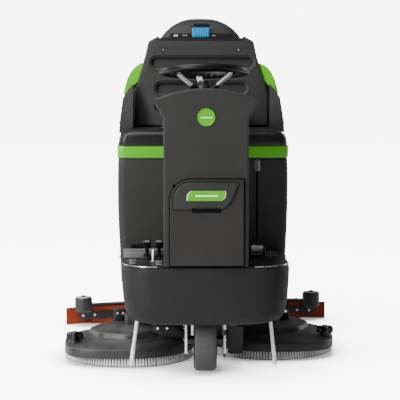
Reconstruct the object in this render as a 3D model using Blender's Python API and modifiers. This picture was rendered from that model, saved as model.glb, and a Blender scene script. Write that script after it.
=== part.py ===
"""Ride-on floor scrubber: three wheels, two disc brush decks, a trailing squeegee and two tanks.

Metres, +Z up. The front faces -Y, and the origin is on the floor under the middle of the machine.
Left and right are -X and +X.
"""

import math

import bmesh
import bpy
from mathutils import Matrix, Vector

# Driving dimensions
REAR_Y = 0.745
FLOOR_TOP = 0.434
BOX_FRONT = -0.212
BOX_BACK = 0.100
BOX_TOP = 0.815
BELT_TOP = 0.865
DECK_TOP = 0.928
TANK_FRONT = 0.125
TANK_TOP = 1.306
TANK_LEAN = 0.18
LID_TOP = 1.395
FILLER_X, FILLER_Z = -0.20, 0.735
INLET = Vector((0.12, REAR_Y - 0.025, 0.98))
GAP = 0.0006

DRIVE = Vector((0, -0.55, 0.122))
DRIVE_WIDTH = 0.088
REAR_AXLE = Vector((0, 0.33, 0.140))
REAR_TRACK_HALF = 0.272
REAR_WIDTH = 0.072
WHEEL_SIDES = 24

BRUSH_RADIUS = 0.267
BRUSH_CENTRES = {"left": Vector((-0.305, -0.24, 0)), "right": Vector((0.281, -0.11, 0))}
MOTOR_PLACES = {"left": (-0.262, -0.147), "right": (0.258, -0.110)}
MOTOR_BASE = 0.1165
BRISTLE_TOP = 0.052
DECK_RADIUS = 0.266
DECK_LOW = 0.036
DECK_HIGH = 0.080
KNOB_LOW = 0.0930
KNOB_PLACES = {"left": Vector((-0.524, -0.37, 0)), "right": Vector((0.505, -0.25, 0))}

WHEEL_CENTRE = Vector((0, -0.41, 1.175))
WHEEL_TILT = math.radians(6.0)
WHEEL_RADIUS = 0.1645
RIM_RADIUS = 0.0165
HUB_DROP = 0.072

SWING_PIVOT = Vector((0, 0.45, 0.1555))
LIFT_PIVOT = Vector((0, 0.145, 0.168))
SQUEEGEE_YAW = math.radians(7)
SQUEEGEE_HALF = 0.607
SQUEEGEE_MIDDLE_Y = 0.605
SQUEEGEE_BOW = 0.22
ROLLER_X = 0.530
ROLLER_FORWARD = -0.055
ROLLER_BASE = 0.0685
NOZZLE_Y = 0.622
FLANGE_TOP = 0.088

COLUMN_HALF = 0.162
COLUMN_FRONT = -0.716
BIN_LOW = Vector((-0.127, -0.7155, 0.463))
BIN_HIGH = Vector((0.131, -0.600, 0.751))
BIN_EDGE = Vector((0.0005, 0.02, 0.0005))
DOOR_HINGE = Vector((0, -0.722, 0.440))
SEAT_HINGE = Vector((-0.3495, -0.085, 0.8655))
LID_HINGE = Vector((0, 0.656, 1.309))
CATCH_HINGE = Vector((0, 0.198, 1.353))
LEVER_HINGE = Vector((0.213, -0.40, 0.462))
PEDAL_PLACES = {"brake_pedal": -0.228, "accelerator_pedal": -0.180}
PEDAL_HINGE = Vector((0, -0.470, 0.447))
STOP_PLACE = Vector((0.105, -0.43, 1.079))
KEY_PLACE = Vector((-0.105, -0.43, 1.077))

# Half-width of the outer skin at each height above the seat box
SKIN = [(0.80, 0.343), (0.87, 0.352), (0.93, 0.354), (1.00, 0.348), (1.06, 0.338), (1.10, 0.327),
        (1.15, 0.303), (1.20, 0.258), (1.25, 0.240), (1.31, 0.226)]
# Half-width of the backrest panel at each height
PANEL = [(0.932, 0.288), (1.077, 0.288), (1.215, 0.245), (1.300, 0.226)]

for old in list(bpy.data.objects):
    bpy.data.objects.remove(old)

parts = bpy.data.collections.new("ride_on_scrubber")
cutters = bpy.data.collections.new("cutters")
bpy.context.scene.collection.children.link(parts)
bpy.context.scene.collection.children.link(cutters)
cutters.hide_render = True


def material(name, colour, roughness, metallic=0.0):
    made = bpy.data.materials.new(name)
    made.use_nodes = True
    shader = made.node_tree.nodes["Principled BSDF"]
    shader.inputs["Base Color"].default_value = (*colour, 1)
    shader.inputs["Roughness"].default_value = roughness
    shader.inputs["Metallic"].default_value = metallic
    return made


BODY = material("body_plastic", (0.045, 0.045, 0.046), 0.55)
BLACK = material("black_plastic", (0.012, 0.012, 0.013), 0.45)
GREEN = material("green_plastic", (0.14, 0.46, 0.03), 0.35)
BLUE = material("blue_plastic", (0.01, 0.28, 0.60), 0.35)
STEEL = material("painted_steel", (0.03, 0.03, 0.032), 0.5, 0.4)
BARE = material("bare_steel", (0.55, 0.55, 0.56), 0.35, 1.0)
RUBBER = material("tyre_rubber", (0.02, 0.02, 0.021), 0.8)
SOFT = material("grey_polyurethane", (0.10, 0.10, 0.105), 0.7)
BRISTLE = material("bristle", (0.62, 0.62, 0.60), 0.7)
GUM = material("gum_rubber", (0.45, 0.08, 0.025), 0.5)
VINYL = material("seat_vinyl", (0.015, 0.015, 0.016), 0.5)
RED = material("red_plastic", (0.55, 0.02, 0.015), 0.35)


def add(name, mesh, look=None, cutter=False):
    """Links a mesh whose points are in world space, shaded smooth with its edges kept."""
    made = bpy.data.objects.new(name, mesh)
    (cutters if cutter else parts).objects.link(made)
    if cutter:
        made.hide_render = True
        made.display_type = "WIRE"
    else:
        mesh.materials.append(look)
    mesh.shade_smooth()
    mesh.set_sharp_from_angle(angle=math.radians(35))
    return made


def mesh_from(shape, name):
    bmesh.ops.recalc_face_normals(shape, faces=shape.faces)
    mesh = bpy.data.meshes.new(name)
    shape.to_mesh(mesh)
    shape.free()
    return mesh


def bevelled(target, width, segments=2, angle=35):
    """Rounds the edges that are sharper than the angle, in degrees."""
    rounding = target.modifiers.new("rounding", "BEVEL")
    rounding.width = width
    rounding.segments = segments
    rounding.limit_method = "ANGLE"
    rounding.angle_limit = math.radians(angle)
    return target


def box(name, low, high, look=None, bevel=0.0, cutter=False, turn=None):
    low, high = Vector(low), Vector(high)
    shape = bmesh.new()
    bmesh.ops.create_cube(shape, size=1)
    size = high - low
    place = Matrix.Translation((low + high) / 2) @ Matrix.Diagonal((*size, 1))
    bmesh.ops.transform(shape, matrix=turn @ place if turn else place, verts=shape.verts)
    made = add(name, mesh_from(shape, name), look, cutter)
    return bevelled(made, bevel) if bevel else made


def rod(name, start, end, radius, look=None, sides=16, end_radius=None, cutter=False):
    """A round bar or cone from one point to another."""
    start, end = Vector(start), Vector(end)
    shape = bmesh.new()
    along = end - start
    bmesh.ops.create_cone(shape, cap_ends=True, segments=sides, radius1=radius, depth=along.length,
                          radius2=radius if end_radius is None else end_radius)
    turn = along.to_track_quat("Z", "Y").to_matrix().to_4x4()
    bmesh.ops.transform(shape, matrix=Matrix.Translation((start + end) / 2) @ turn, verts=shape.verts)
    return add(name, mesh_from(shape, name), look, cutter)


def turned(name, profile, look, centre, axis="Z", steps=24, closed=False, cutter=False, turn=None):
    """Turns (radius, height) points, listed from the top down the outer side, about an axis."""
    mesh = bpy.data.meshes.new(name)
    count = len(profile)
    edges = [(i, (i + 1) % count) for i in range(count if closed else count - 1)]
    mesh.from_pydata([(r, 0, z) for r, z in profile], edges, [])
    made = add(name, mesh, look, cutter)
    screw = made.modifiers.new("turning", "SCREW")
    screw.steps = steps
    screw.render_steps = steps
    screw.use_merge_vertices = True
    screw.merge_threshold = 0.0001
    made.location = centre
    if axis == "X":
        made.rotation_euler = (0, math.radians(90), 0)
    if turn is not None:
        made.rotation_euler = turn
    return made


def plate(name, outline, low, high, look=None, facing="Z", cutter=False):
    """A flat outline, given by the other two coordinates, with a thickness along facing."""
    curve = bpy.data.curves.new(name, "CURVE")
    curve.dimensions = "2D"
    curve.fill_mode = "BOTH"
    curve.extrude = (high - low) / 2
    line = curve.splines.new("POLY")
    line.points.add(len(outline) - 1)
    for point, (u, v) in zip(line.points, outline):
        point.co = (u, v, 0, 1)
    line.use_cyclic_u = True
    flat = bpy.data.objects.new(name + "_outline", curve)
    parts.objects.link(flat)
    middle = (low + high) / 2
    flat.location = {"X": (middle, 0, 0), "Y": (0, middle, 0), "Z": (0, 0, middle)}[facing]
    right = math.radians(90)
    flat.rotation_euler = {"X": (right, 0, right), "Y": (right, 0, 0), "Z": (0, 0, 0)}[facing]
    bpy.context.view_layer.update()
    mesh = bpy.data.meshes.new_from_object(flat.evaluated_get(bpy.context.evaluated_depsgraph_get()))
    mesh.transform(flat.matrix_world)
    bpy.data.objects.remove(flat)
    shape = bmesh.new()
    shape.from_mesh(mesh)
    bmesh.ops.remove_doubles(shape, verts=shape.verts, dist=0.00005)
    return add(name, mesh_from(shape, name), look, cutter)


def tube(name, points, radius, look, round_bend=3):
    """A round bar through points, as a mesh that can be cut or joined."""
    curve = bpy.data.curves.new(name, "CURVE")
    curve.dimensions = "3D"
    curve.bevel_depth = radius
    curve.bevel_resolution = round_bend
    curve.use_fill_caps = True
    line = curve.splines.new("POLY")
    line.points.add(len(points) - 1)
    for point, place in zip(line.points, points):
        point.co = (*place, 1)
    bent = bpy.data.objects.new(name + "_path", curve)
    parts.objects.link(bent)
    bpy.context.view_layer.update()
    mesh = bpy.data.meshes.new_from_object(bent.evaluated_get(bpy.context.evaluated_depsgraph_get()))
    bpy.data.objects.remove(bent)
    shape = bmesh.new()
    shape.from_mesh(mesh)
    bmesh.ops.remove_doubles(shape, verts=shape.verts, dist=0.00005)
    return add(name, mesh_from(shape, name), look)


def loft(name, sections, look=None, cutter=False):
    """A closed solid through loops that all have the same number of points."""
    shape = bmesh.new()
    rings = [[shape.verts.new(point) for point in loop] for loop in sections]
    for lower, upper in zip(rings, rings[1:]):
        for i in range(len(lower)):
            j = (i + 1) % len(lower)
            shape.faces.new((lower[i], lower[j], upper[j], upper[i]))
    shape.faces.new(rings[0])
    shape.faces.new(rings[-1])
    return add(name, mesh_from(shape, name), look, cutter)


def boolean(target, other, operation="DIFFERENCE"):
    cut = target.modifiers.new(operation.lower(), "BOOLEAN")
    cut.operation = operation
    cut.solver = "EXACT"
    cut.object = other
    return target


def united(name, pieces, look):
    """Joins overlapping solids into one object. The pieces stay as helpers."""
    first = pieces[0]
    first.name = name
    for piece in pieces[1:]:
        piece.name = name + "_piece"
        parts.objects.unlink(piece)
        cutters.objects.link(piece)
        piece.hide_render = True
        piece.display_type = "WIRE"
        boolean(first, piece, "UNION")
    first.data.materials.clear()
    first.data.materials.append(look)
    return first


def plan(half, front, back, z, front_round=0.10, back_round=0.04, bow=0.0, arc=4):
    """A level loop: a rectangle with rounded corners, whose front edge bows forward."""
    loop = []
    corners = [(-half, back, back_round, 90), (-half, front, front_round, 180),
               (half, front, front_round, 270), (half, back, back_round, 0)]
    for x, y, radius, start in corners:
        centre = (x - math.copysign(radius, x), y + (radius if y == front else -radius))
        for step in range(arc + 1):
            angle = math.radians(start + 90 * step / arc)
            loop.append((centre[0] + radius * math.cos(angle), centre[1] + radius * math.sin(angle)))
        if x < 0 and y == front:
            width = half - front_round
            loop += [(width * t, front) for t in (-0.5, 0, 0.5)]
    middle = (front + back) / 2
    return [(x, y - bow * max(0, 1 - (x / half) ** 2) if y < middle else y, z) for x, y in loop]


def pivot(name, place, pieces, parent=None):
    """An empty on a joint's axis, which carries the pieces that move with it."""
    made = bpy.data.objects.new(name, None)
    parts.objects.link(made)
    made.location = place
    if parent:
        bpy.context.view_layer.update()
        made.parent = parent
        made.matrix_parent_inverse = parent.matrix_world.inverted()
    bpy.context.view_layer.update()
    for piece in pieces:
        helpers = [modifier.object for modifier in piece.modifiers if modifier.type == "BOOLEAN"]
        for carried in [piece] + helpers:
            carried.parent = made
            carried.matrix_parent_inverse = made.matrix_world.inverted()
    return made


def read_off(profile, z):
    """The half-width that a profile of (height, half-width) pairs has at a height."""
    for (low, wide), (high, narrow) in zip(profile, profile[1:]):
        if z <= high:
            return wide + (narrow - wide) * (z - low) / (high - low)
    return profile[-1][1]


def skin_half(z):
    return read_off(SKIN, z)


def panel_half(z):
    return read_off(PANEL, z)


def mirrored(side):
    return -1 if side == "left" else 1


# Chassis: two rails, cross members, the steering head's plate and the squeegee's hinge lugs
def chassis():
    rails = []
    for x in (-0.13, 0.13):
        rails.append(box("rail", (x - 0.022, -0.40, 0.200), (x + 0.022, 0.700, 0.244)))
        rails.append(box("riser", (x - 0.022, -0.41, 0.21), (x + 0.022, -0.355, 0.352)))
    rails.append(box("head_plate", (-0.175, -0.665, 0.340), (0.175, -0.356, 0.3515)))
    for y in (-0.33, 0.02, 0.66):
        rails.append(box("cross", (-0.145, y, 0.206), (0.145, y + 0.035, 0.238)))
    for x in (-0.13, 0.13):
        rails.append(box("axle_hanger", (x - 0.012, 0.300, 0.150), (x + 0.012, 0.360, 0.215)))
    for x in (-0.045, 0.045):
        rails.append(box("lug", (x - 0.006, 0.025, 0.150), (x + 0.006, 0.160, 0.215)))
    frame = united("chassis_frame", rails, STEEL)
    bore = rod("drive_bore", (0, DRIVE.y, 0.30), (0, DRIVE.y, 0.40), 0.090, sides=32, cutter=True)
    boolean(frame, bore)
    hanger_bore = rod("axle_bore", (-0.2, *REAR_AXLE.yz), (0.2, *REAR_AXLE.yz), 0.0136, sides=16, cutter=True)
    boolean(frame, hanger_bore)
    lug_bore = rod("lug_bore", (-0.1, *LIFT_PIVOT.yz), (0.1, *LIFT_PIVOT.yz), 0.0084, sides=16, cutter=True)
    boolean(frame, lug_bore)
    return frame


def rear_axle():
    return rod("rear_axle", (-0.318, *REAR_AXLE.yz), (0.318, *REAR_AXLE.yz), 0.0130, BARE)


def steering_head():
    ring = [(0.112, 0.338), (0.112, 0.312), (0.0895, 0.312), (0.0895, 0.338)]
    return turned("steering_head", ring, STEEL, (0, DRIVE.y, 0), closed=True, steps=32)


# Front drive unit
def steering_fork():
    """Turntable with two side plates, cut for the wheel's axle."""
    disc = rod("turntable", (0, DRIVE.y, 0.262), (0, DRIVE.y, 0.334), 0.0885, sides=32)
    sides = []
    for side in (-1, 1):
        outline = [(DRIVE.y - 0.060, 0.270), (DRIVE.y - 0.060, 0.075), (DRIVE.y - 0.045, 0.060),
                   (DRIVE.y + 0.045, 0.060), (DRIVE.y + 0.060, 0.075), (DRIVE.y + 0.060, 0.270)]
        low = 0.0710 if side > 0 else -0.0800
        sides.append(plate("fork_side", outline, low, low + 0.009, facing="X"))
    fork = united("steering_fork", [disc] + sides, STEEL)
    bore = rod("fork_bore", (-0.1, *DRIVE.yz), (0.1, *DRIVE.yz), 0.0163, sides=16, cutter=True)
    return boolean(fork, bore)


def drive_motor():
    profile = [(0, 0.088), (0.045, 0.088), (0.058, 0.080), (0.060, 0.070), (0.060, 0.0), (0, 0.0)]
    return turned("drive_motor", profile, STEEL, (0, DRIVE.y, 0.335), steps=24)


def tyre(name, centre, radius, width, rim):
    """A solid tyre, turned about X."""
    half = width / 2
    tread = [(rim, half * 0.86), (radius * 0.93, half), (radius * 0.985, half * 0.86), (radius, half * 0.6),
             (radius, -half * 0.6), (radius * 0.985, -half * 0.86), (radius * 0.93, -half),
             (rim, -half * 0.86)]
    return turned(name, tread, RUBBER, centre, "X", WHEEL_SIDES, closed=True)


def front_wheel():
    rim = 0.0737
    profile = [(0, 0.0705), (0.0158, 0.0705), (0.0158, 0.042), (0.034, 0.042), (0.038, 0.030), (0.066, 0.030),
               (rim, 0.038)]
    profile += [(r, -z) for r, z in reversed(profile)]
    hub = turned("front_hub", profile, BARE, DRIVE, "X", WHEEL_SIDES)
    return tyre("front_tyre", DRIVE, DRIVE.z, DRIVE_WIDTH, rim + 0.0004), hub


def rear_wheel(side):
    centre = Vector((mirrored(side) * REAR_TRACK_HALF, *REAR_AXLE.yz))
    outer = [(0.0135, 0.040), (0.030, 0.040), (0.034, 0.018), (0.074, 0.018), (0.078, 0.030), (0.0847, 0.030)]
    profile = outer + [(r, -z) for r, z in reversed(outer)]
    hub = turned("rear_hub_" + side, profile, SOFT, centre, "X", WHEEL_SIDES, closed=True)
    return tyre("rear_tyre_" + side, centre, REAR_AXLE.z, REAR_WIDTH, 0.0852), hub


# Front bodywork
def nose_bumper():
    """A shell round the drive unit, open below, with a wall under the footwell."""
    rounds = 0.115

    def ring(z, half, front, inset=0.0):
        back = BOX_FRONT - 0.002 - inset
        return plan(half - inset, front + inset, back, z, rounds - inset, 0.012, bow=0.024)

    levels = [(0.210, 0.277, -0.690), (0.220, 0.295, -0.716), (0.246, 0.309, -0.726), (0.30, 0.320, -0.722),
              (0.37, 0.326, -0.712), (FLOOR_TOP - 0.008, 0.328, -0.702)]
    shell = loft("nose_bumper", [ring(*level) for level in levels], BODY)
    inner = [(0.15, 0.270, -0.683)] + levels[:-1] + [(0.421, 0.327, -0.704)]
    hollow = loft("nose_hollow", [ring(*level, inset=0.007) for level in inner], cutter=True)
    boolean(shell, hollow)
    low, high = (-0.290, BOX_FRONT - 0.04, 0.10), (0.290, BOX_FRONT + 0.01, 0.37)
    boolean(shell, box("nose_back_gap", low, high, cutter=True))
    well = rod("motor_well", (0, DRIVE.y, 0.40), (0, DRIVE.y, 0.46), 0.066, sides=24, cutter=True)
    return boolean(shell, well)


def footwell_floor():
    outline = [(x, y) for x, y, z in plan(0.325, -0.699, BOX_FRONT - 0.002, 0, 0.112, 0.012, bow=0.024)]
    return plate("footwell_floor", outline, FLOOR_TOP - 0.0075, FLOOR_TOP - 0.0005, BLACK)


def column_shroud():
    """The steering column's casing, with a storage pocket in its front and a shaft way through it."""
    def ring(z, back, wall=0.0):
        return plan(COLUMN_HALF - wall, COLUMN_FRONT + wall, back - wall, z, 0.022, 0.030, bow=0.006, arc=3)

    levels = [(FLOOR_TOP, -0.452), (0.72, -0.436), (1.000, -0.400)]
    casing = loft("column_shroud", [ring(*level) for level in levels], BODY)
    room = [(FLOOR_TOP - 0.02, -0.453), (0.72, -0.436), (1.02, -0.397)]
    boolean(casing, loft("column_room", [ring(*level, wall=0.005) for level in room], cutter=True))
    return boolean(casing, box("pocket", BIN_LOW - BIN_EDGE, BIN_HIGH + BIN_EDGE, cutter=True))


def storage_bin():
    """The liner behind the storage door, open at the front."""
    liner = box("storage_bin", BIN_LOW, BIN_HIGH, BLACK)
    wall = Vector((0.003, 0.003, 0.003))
    room = box("bin_room", BIN_LOW + wall - Vector((0, 0.05, 0)), BIN_HIGH - wall, cutter=True)
    return boolean(liner, room)


def tilted():
    """The frame of the steering axis: origin at the rim's centre, Z up along the shaft."""
    return Matrix.Translation(WHEEL_CENTRE) @ Matrix.Rotation(-WHEEL_TILT, 4, "X")


def shaft_way():
    top = tilted() @ Vector((0, 0, -0.06))
    low = tilted() @ Vector((0, 0, -0.80))
    return rod("shaft_way", low, top, 0.030, sides=16, cutter=True)


def dashboard():
    """The head of the column: a flared cowl with an arched top that falls towards the driver."""
    def section(y, drop, shrink, low=1.0006):
        arch = [(0.198 * math.cos(math.radians(a)), 1.074 - drop + (0.040) * math.sin(math.radians(a)))
                for a in range(0, 181, 20)]
        right = [(COLUMN_HALF - 0.004, low), (0.170, 1.022), (0.198, 1.068 - drop)]
        outline = [(-x, z) for x, z in reversed(right)] + right + arch
        return [(x * shrink, y, low + (z - low) * shrink) for x, z in outline]

    levels = [(-0.7215, 0.0, 0.985), (-0.712, 0.0, 1.0), (-0.62, 0.0, 1.0), (-0.40, 0.040, 0.98),
              (-0.385, 0.044, 0.93)]
    cowl = loft("dashboard", [section(*level) for level in levels], BODY)
    hollows = [(-0.714, 0.010), (-0.62, 0.010), (-0.393, 0.052)]
    boolean(cowl, loft("cowl_room", [section(y, drop, 0.955, 0.98) for y, drop in hollows], cutter=True))
    reach = Vector((0, 0, 0.05))
    boolean(cowl, rod("stop_bore", STOP_PLACE - reach, STOP_PLACE + reach, 0.0120, sides=20, cutter=True))
    return boolean(cowl, shaft_way())


def storage_door():
    """A flat door hinged along its lower edge, with one large rounded corner."""
    left, right, low, high = -0.138, 0.142, DOOR_HINGE.z, 0.770
    radius = 0.085
    outline = [(left, low), (right, low), (right, high)]
    angles = [math.radians(a) for a in range(0, 91, 15)]
    outline += [(left + radius * (1 - math.sin(a)), high - radius * (1 - math.cos(a))) for a in angles]
    return plate("storage_door", outline, -0.7320, -0.7235, BODY, facing="Y")


def door_handle():
    """A raised leaf on the door, with a finger slot below it."""
    outline = [(-0.122, 0.657), (0.058, 0.657), (0.100, 0.690), (0.126, 0.758), (-0.052, 0.758),
               (-0.100, 0.705)]
    leaf = plate("door_handle", outline, -0.7410, -0.7325, BODY, facing="Y")
    return bevelled(leaf, 0.004)


# Middle: battery box, belt, seat deck and seat
def battery_box():
    shell = loft("battery_box", [plan(half, BOX_FRONT, BOX_BACK, z, 0.030, 0.010, arc=3) for z, half in
                                 ((0.300, 0.337), (0.434, 0.340), (0.62, 0.347), (BOX_TOP, 0.343))], BODY)
    rooms = {"upper_room": ((-0.330, BOX_FRONT + 0.010, 0.372), (0.330, BOX_BACK - 0.006, 0.90)),
             "lower_room": ((-0.328, BOX_FRONT + 0.012, 0.20), (0.328, 0.20, 0.364))}
    for name, (low, high) in rooms.items():
        boolean(shell, box(name, low, high, cutter=True))
    return shell


def green_belt():
    levels = [(BOX_TOP + GAP, 0.346), (BELT_TOP, 0.348)]
    band = loft("green_belt", [plan(half, BOX_FRONT - 0.002, BOX_BACK, z, 0.030, 0.010, bow=0.004, arc=3)
                               for z, half in levels], GREEN)
    room = box("belt_room", (-0.332, BOX_FRONT + 0.010, 0.70), (0.332, 0.094, 0.95), cutter=True)
    return boolean(band, room)


def batteries():
    made = []
    for name, low in (("battery_front", -0.197), ("battery_rear", -0.052)):
        made.append(box(name, (-0.300, low, 0.3725), (0.300, low + 0.138, 0.625), BLACK, bevel=0.008))
    return made


def vacuum_motor():
    profile = [(0, 0.125), (0.050, 0.125), (0.056, 0.118), (0.056, 0.055), (0.078, 0.050), (0.078, 0.0),
               (0, 0.0)]
    return turned("vacuum_motor", profile, STEEL, (0.19, -0.075, 0.627), steps=20)


def controller_box():
    return box("controller_box", (-0.27, -0.18, 0.626), (-0.07, 0.03, 0.700), STEEL, bevel=0.006)


def seat_deck():
    """The black lid of the battery box, which carries the seat and hinges at its left edge."""
    y_low, y_high = BOX_FRONT - 0.004, BOX_BACK
    levels = [(BELT_TOP + GAP, 0.349, 0), (0.905, 0.342, 0), (0.922, 0.322, 0.010), (DECK_TOP, 0.285, 0.028)]
    loops = [plan(half, y_low + inset, y_high - inset * 0.2, z, 0.032, 0.012, bow=0.004, arc=3)
             for z, half, inset in levels]
    room = box("deck_room", (-0.328, y_low + 0.012, 0.85), (0.328, 0.090, 0.908), cutter=True)
    return boolean(loft("seat_deck", loops, BLACK), room)


def seat_cushion():
    levels = [(DECK_TOP + 0.001, 0.158, 0.010), (0.945, 0.172, 0), (0.982, 0.174, 0), (1.000, 0.150, 0.026)]
    return loft("seat_cushion", [plan(half, -0.200 + inset, 0.094 - inset, z, 0.050, 0.040, arc=3)
                                 for z, half, inset in levels], VINYL)


# Rear: tanks, lid and covers
def solution_tank():
    levels = [(0.262, 0.300, 0.03), (0.30, 0.330, 0.01), (0.45, 0.342, 0), (0.80, 0.343, 0)]
    tank = loft("solution_tank", [plan(half, 0.103, REAR_Y - inset, z, 0.012, 0.070, arc=4)
                                  for z, half, inset in levels], BODY)
    arch = rod("wheel_arch", (-0.5, *REAR_AXLE.yz), (0.5, *REAR_AXLE.yz), 0.160, sides=32, cutter=True)
    boolean(tank, arch)
    room = [(0.314, 0.320), (0.45, 0.332), (0.790, 0.333)]
    boolean(tank, loft("solution_room", [plan(half, 0.113, REAR_Y - 0.012, z, 0.010, 0.060)
                                         for z, half in room], cutter=True))
    boolean(tank, box("underbody", (-0.226, 0.115, 0.20), (0.226, 0.728, 0.303), cutter=True))
    filler = rod("filler", (FILLER_X, REAR_Y - 0.05, FILLER_Z), (FILLER_X, REAR_Y + 0.05, FILLER_Z), 0.030,
                 sides=20, cutter=True)
    return boolean(tank, filler)


def recovery_tank():
    """Upper tank, narrower where the shoulder covers lie over it, hollow and open at the top."""
    def ring(z, inset, extra=0.0):
        front = tank_front(z)
        back = REAR_Y - 0.06 * max(0, z - 0.95) / 0.35
        return plan(skin_half(z) - inset - extra, front + extra, back - extra, z, 0.030, 0.075, arc=4)

    levels = [(0.8006, 0.002), (0.93, 0.002), (1.045, 0.004), (1.06, 0.020), (1.10, 0.020), (1.15, 0.020),
              (1.20, 0.020), (1.206, 0.004), (1.25, 0.004), (TANK_TOP, 0.004)]
    tank = loft("recovery_tank", [ring(z, inset) for z, inset in levels], BODY)
    outward = Vector((0, 1, 0))
    spigot = rod("suction_spigot", INLET - outward * 0.02, INLET + outward * 0.024, 0.026, sides=20)
    united("recovery_tank", [tank, spigot], BODY)
    room = [(0.812, 0.008), (0.93, 0.008), (1.06, 0.022), (1.15, 0.022), (1.20, 0.022), (1.25, 0.012),
            (TANK_TOP - 0.008, 0.012)]
    boolean(tank, loft("tank_room", [ring(z, inset, 0.006) for z, inset in room], cutter=True))
    boolean(tank, box("tank_mouth", (-0.140, 0.270, 1.25), (0.140, 0.600, 1.35), cutter=True))
    reach = outward * 0.08
    return boolean(tank, rod("suction_bore", INLET - reach, INLET + reach, 0.021, sides=20, cutter=True))


def backrest_panel():
    """The upright in front of the tank, leaning back, with two long grooves across it."""
    def outline(y, inset):
        right = [(half, z) for z, half in PANEL]
        points = [(-x, z) for x, z in right] + right[::-1]
        return [(x - math.copysign(inset, x), y + TANK_LEAN * max(0, z - 0.93), z) for x, z in points]

    loops = [outline(TANK_FRONT - 0.0125, 0), outline(0.1065, 0), outline(0.1025, 0.004)]
    panel = loft("backrest_panel", loops, BODY)
    for z, half in ((1.203, 0.232), (1.093, 0.207)):
        front = 0.1025 + TANK_LEAN * (z - 0.93)
        low, high = (-half, front - 0.02, z - 0.030), (half, front + 0.006, z + 0.030)
        groove = box("groove", low, high, cutter=True)
        boolean(panel, bevelled(groove, 0.024, 3))
    return panel


def side_wing(side):
    """A shell beside the seat, between the seat deck and the tank."""
    outline = [(0.120, 0.9292), (0.120, 1.112), (0.104, 1.120), (0.080, 1.112), (0.020, 1.010),
               (0.000, 0.945), (0.000, 0.9292)]
    s = mirrored(side)
    low, high = sorted((s * 0.292, s * 0.346))
    wing = plate("side_wing_" + side, outline, low, high, BODY, facing="X")
    slope = Matrix.Translation((s * 0.346, 0, 1.054)) @ Matrix.Rotation(s * math.radians(48), 4, "Y")
    boolean(wing, box("wing_slope", (-0.15, -0.05, 0), (0.15, 0.15, 0.10), cutter=True, turn=slope))
    return bevelled(wing, 0.005, 2)


def tank_front(z):
    """Where the recovery tank's front face stands at each height."""
    return TANK_FRONT + TANK_LEAN * max(0, z - 0.93)


def shoulder_cover(side):
    """A bright cover over the tank's shoulder, with a front wall that closes the gap beside the backrest."""
    s = mirrored(side)
    low, high = 1.064, 1.200
    sections = []
    for back in (0.0, 0.40, 0.50, 0.62):
        rise = 0.45 * max(0, back - 0.42)
        heights = [low + rise + (high - low - rise) * t for t in (0, 0.15, 0.30, 0.50, 0.65, 0.82, 1)]
        outer = [(s * skin_half(z), back or tank_front(z) - 0.010, z) for z in heights]
        inner = [(x - s * 0.012, y, z) for x, y, z in reversed(outer)]
        sections.append(outer + inner)
    cover = loft("shoulder_cover_" + side, sections, GREEN)
    heights = [low + (high - low) * i / 6 for i in range(7)]
    walls = []
    for y in (-0.0095, -0.001):
        near = [(s * (panel_half(z) - 0.004), tank_front(z) + y, z) for z in heights]
        walls.append(near + [(s * (skin_half(z) - 0.002), tank_front(z) + y, z) for z in reversed(heights)])
    return united("shoulder_cover_" + side, [cover, loft("front_wall", walls)], GREEN)


def tank_lid():
    """A domed lid, open below, hinged at its rear edge."""
    def ring(z, half, front, back, extra=0.0):
        return plan(half - extra, front + extra, back - extra, z, 0.050, 0.060, bow=0.012, arc=3)

    levels = [(TANK_TOP + 0.001, 0.176, 0.214, 0.655), (1.330, 0.171, 0.218, 0.652),
              (1.356, 0.156, 0.230, 0.640), (1.376, 0.128, 0.254, 0.610), (1.389, 0.095, 0.290, 0.570),
              (LID_TOP, 0.060, 0.340, 0.520)]
    lid = loft("tank_lid", [ring(*level) for level in levels], BODY)
    room = [(1.27, 0.176, 0.214, 0.655)] + levels[:3] + [(1.368, 0.128, 0.254, 0.610)]
    return boolean(lid, loft("lid_room", [ring(*level, extra=0.007) for level in room], cutter=True))


def lid_catch():
    """A blue pull hooked over the lid's front edge."""
    return box("lid_catch", (-0.037, 0.191, 1.3125), (0.037, 0.199, 1.354), BLUE, bevel=0.003)


# Brush decks
def brush_deck(side):
    """A skirted plate whose front outer corner is squared, with a raised middle platform."""
    s = mirrored(side)
    centre = BRUSH_CENTRES[side]

    def outline(scale, steps=28):
        points = []
        for step in range(steps):
            angle = 2 * math.pi * step / steps
            x, y = math.cos(angle), math.sin(angle)
            power = 2.0 if y >= 0 or x * s <= 0 else 2.0 + 1.6 * math.sin(2 * math.atan2(-y, x * s))
            radius = DECK_RADIUS * scale / (abs(x) ** power + abs(y) ** power) ** (1 / power)
            points.append((centre.x + radius * x, centre.y + radius * y))
        return points

    def ring(z, scale):
        return [(x, y, z) for x, y in outline(scale)]

    levels = [(DECK_LOW, 1.0), (0.072, 1.0), (DECK_HIGH, 0.97), (0.096, 0.70)]
    skirt = loft("deck_" + side, [ring(*level) for level in levels], BLACK)
    boolean(skirt, loft("deck_room", [ring(DECK_LOW - 0.02, 0.965), ring(0.0745, 0.965)], cutter=True))
    stage = rod("deck_stage", (centre.x, centre.y, 0.090), (centre.x, centre.y, MOTOR_BASE - 0.0005), 0.175,
                sides=8, end_radius=0.160)
    place = KNOB_PLACES[side]
    boss = rod("knob_boss", (*place.xy, 0.078), (*place.xy, KNOB_LOW - 0.0005), 0.022, sides=16)
    deck = united("deck_" + side, [skirt, stage, boss], BLACK)
    return boolean(deck, rod("deck_bore", (centre.x, centre.y, 0.06), (centre.x, centre.y, 0.14), 0.030,
                             sides=16, cutter=True))


def brush_motor(side):
    profile = [(0, 0.182), (0.040, 0.182), (0.048, 0.174), (0.048, 0.048), (0.066, 0.042), (0.066, 0.0),
               (0, 0.0)]
    return turned("brush_motor_" + side, profile, STEEL, (*MOTOR_PLACES[side], MOTOR_BASE), steps=20)


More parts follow.
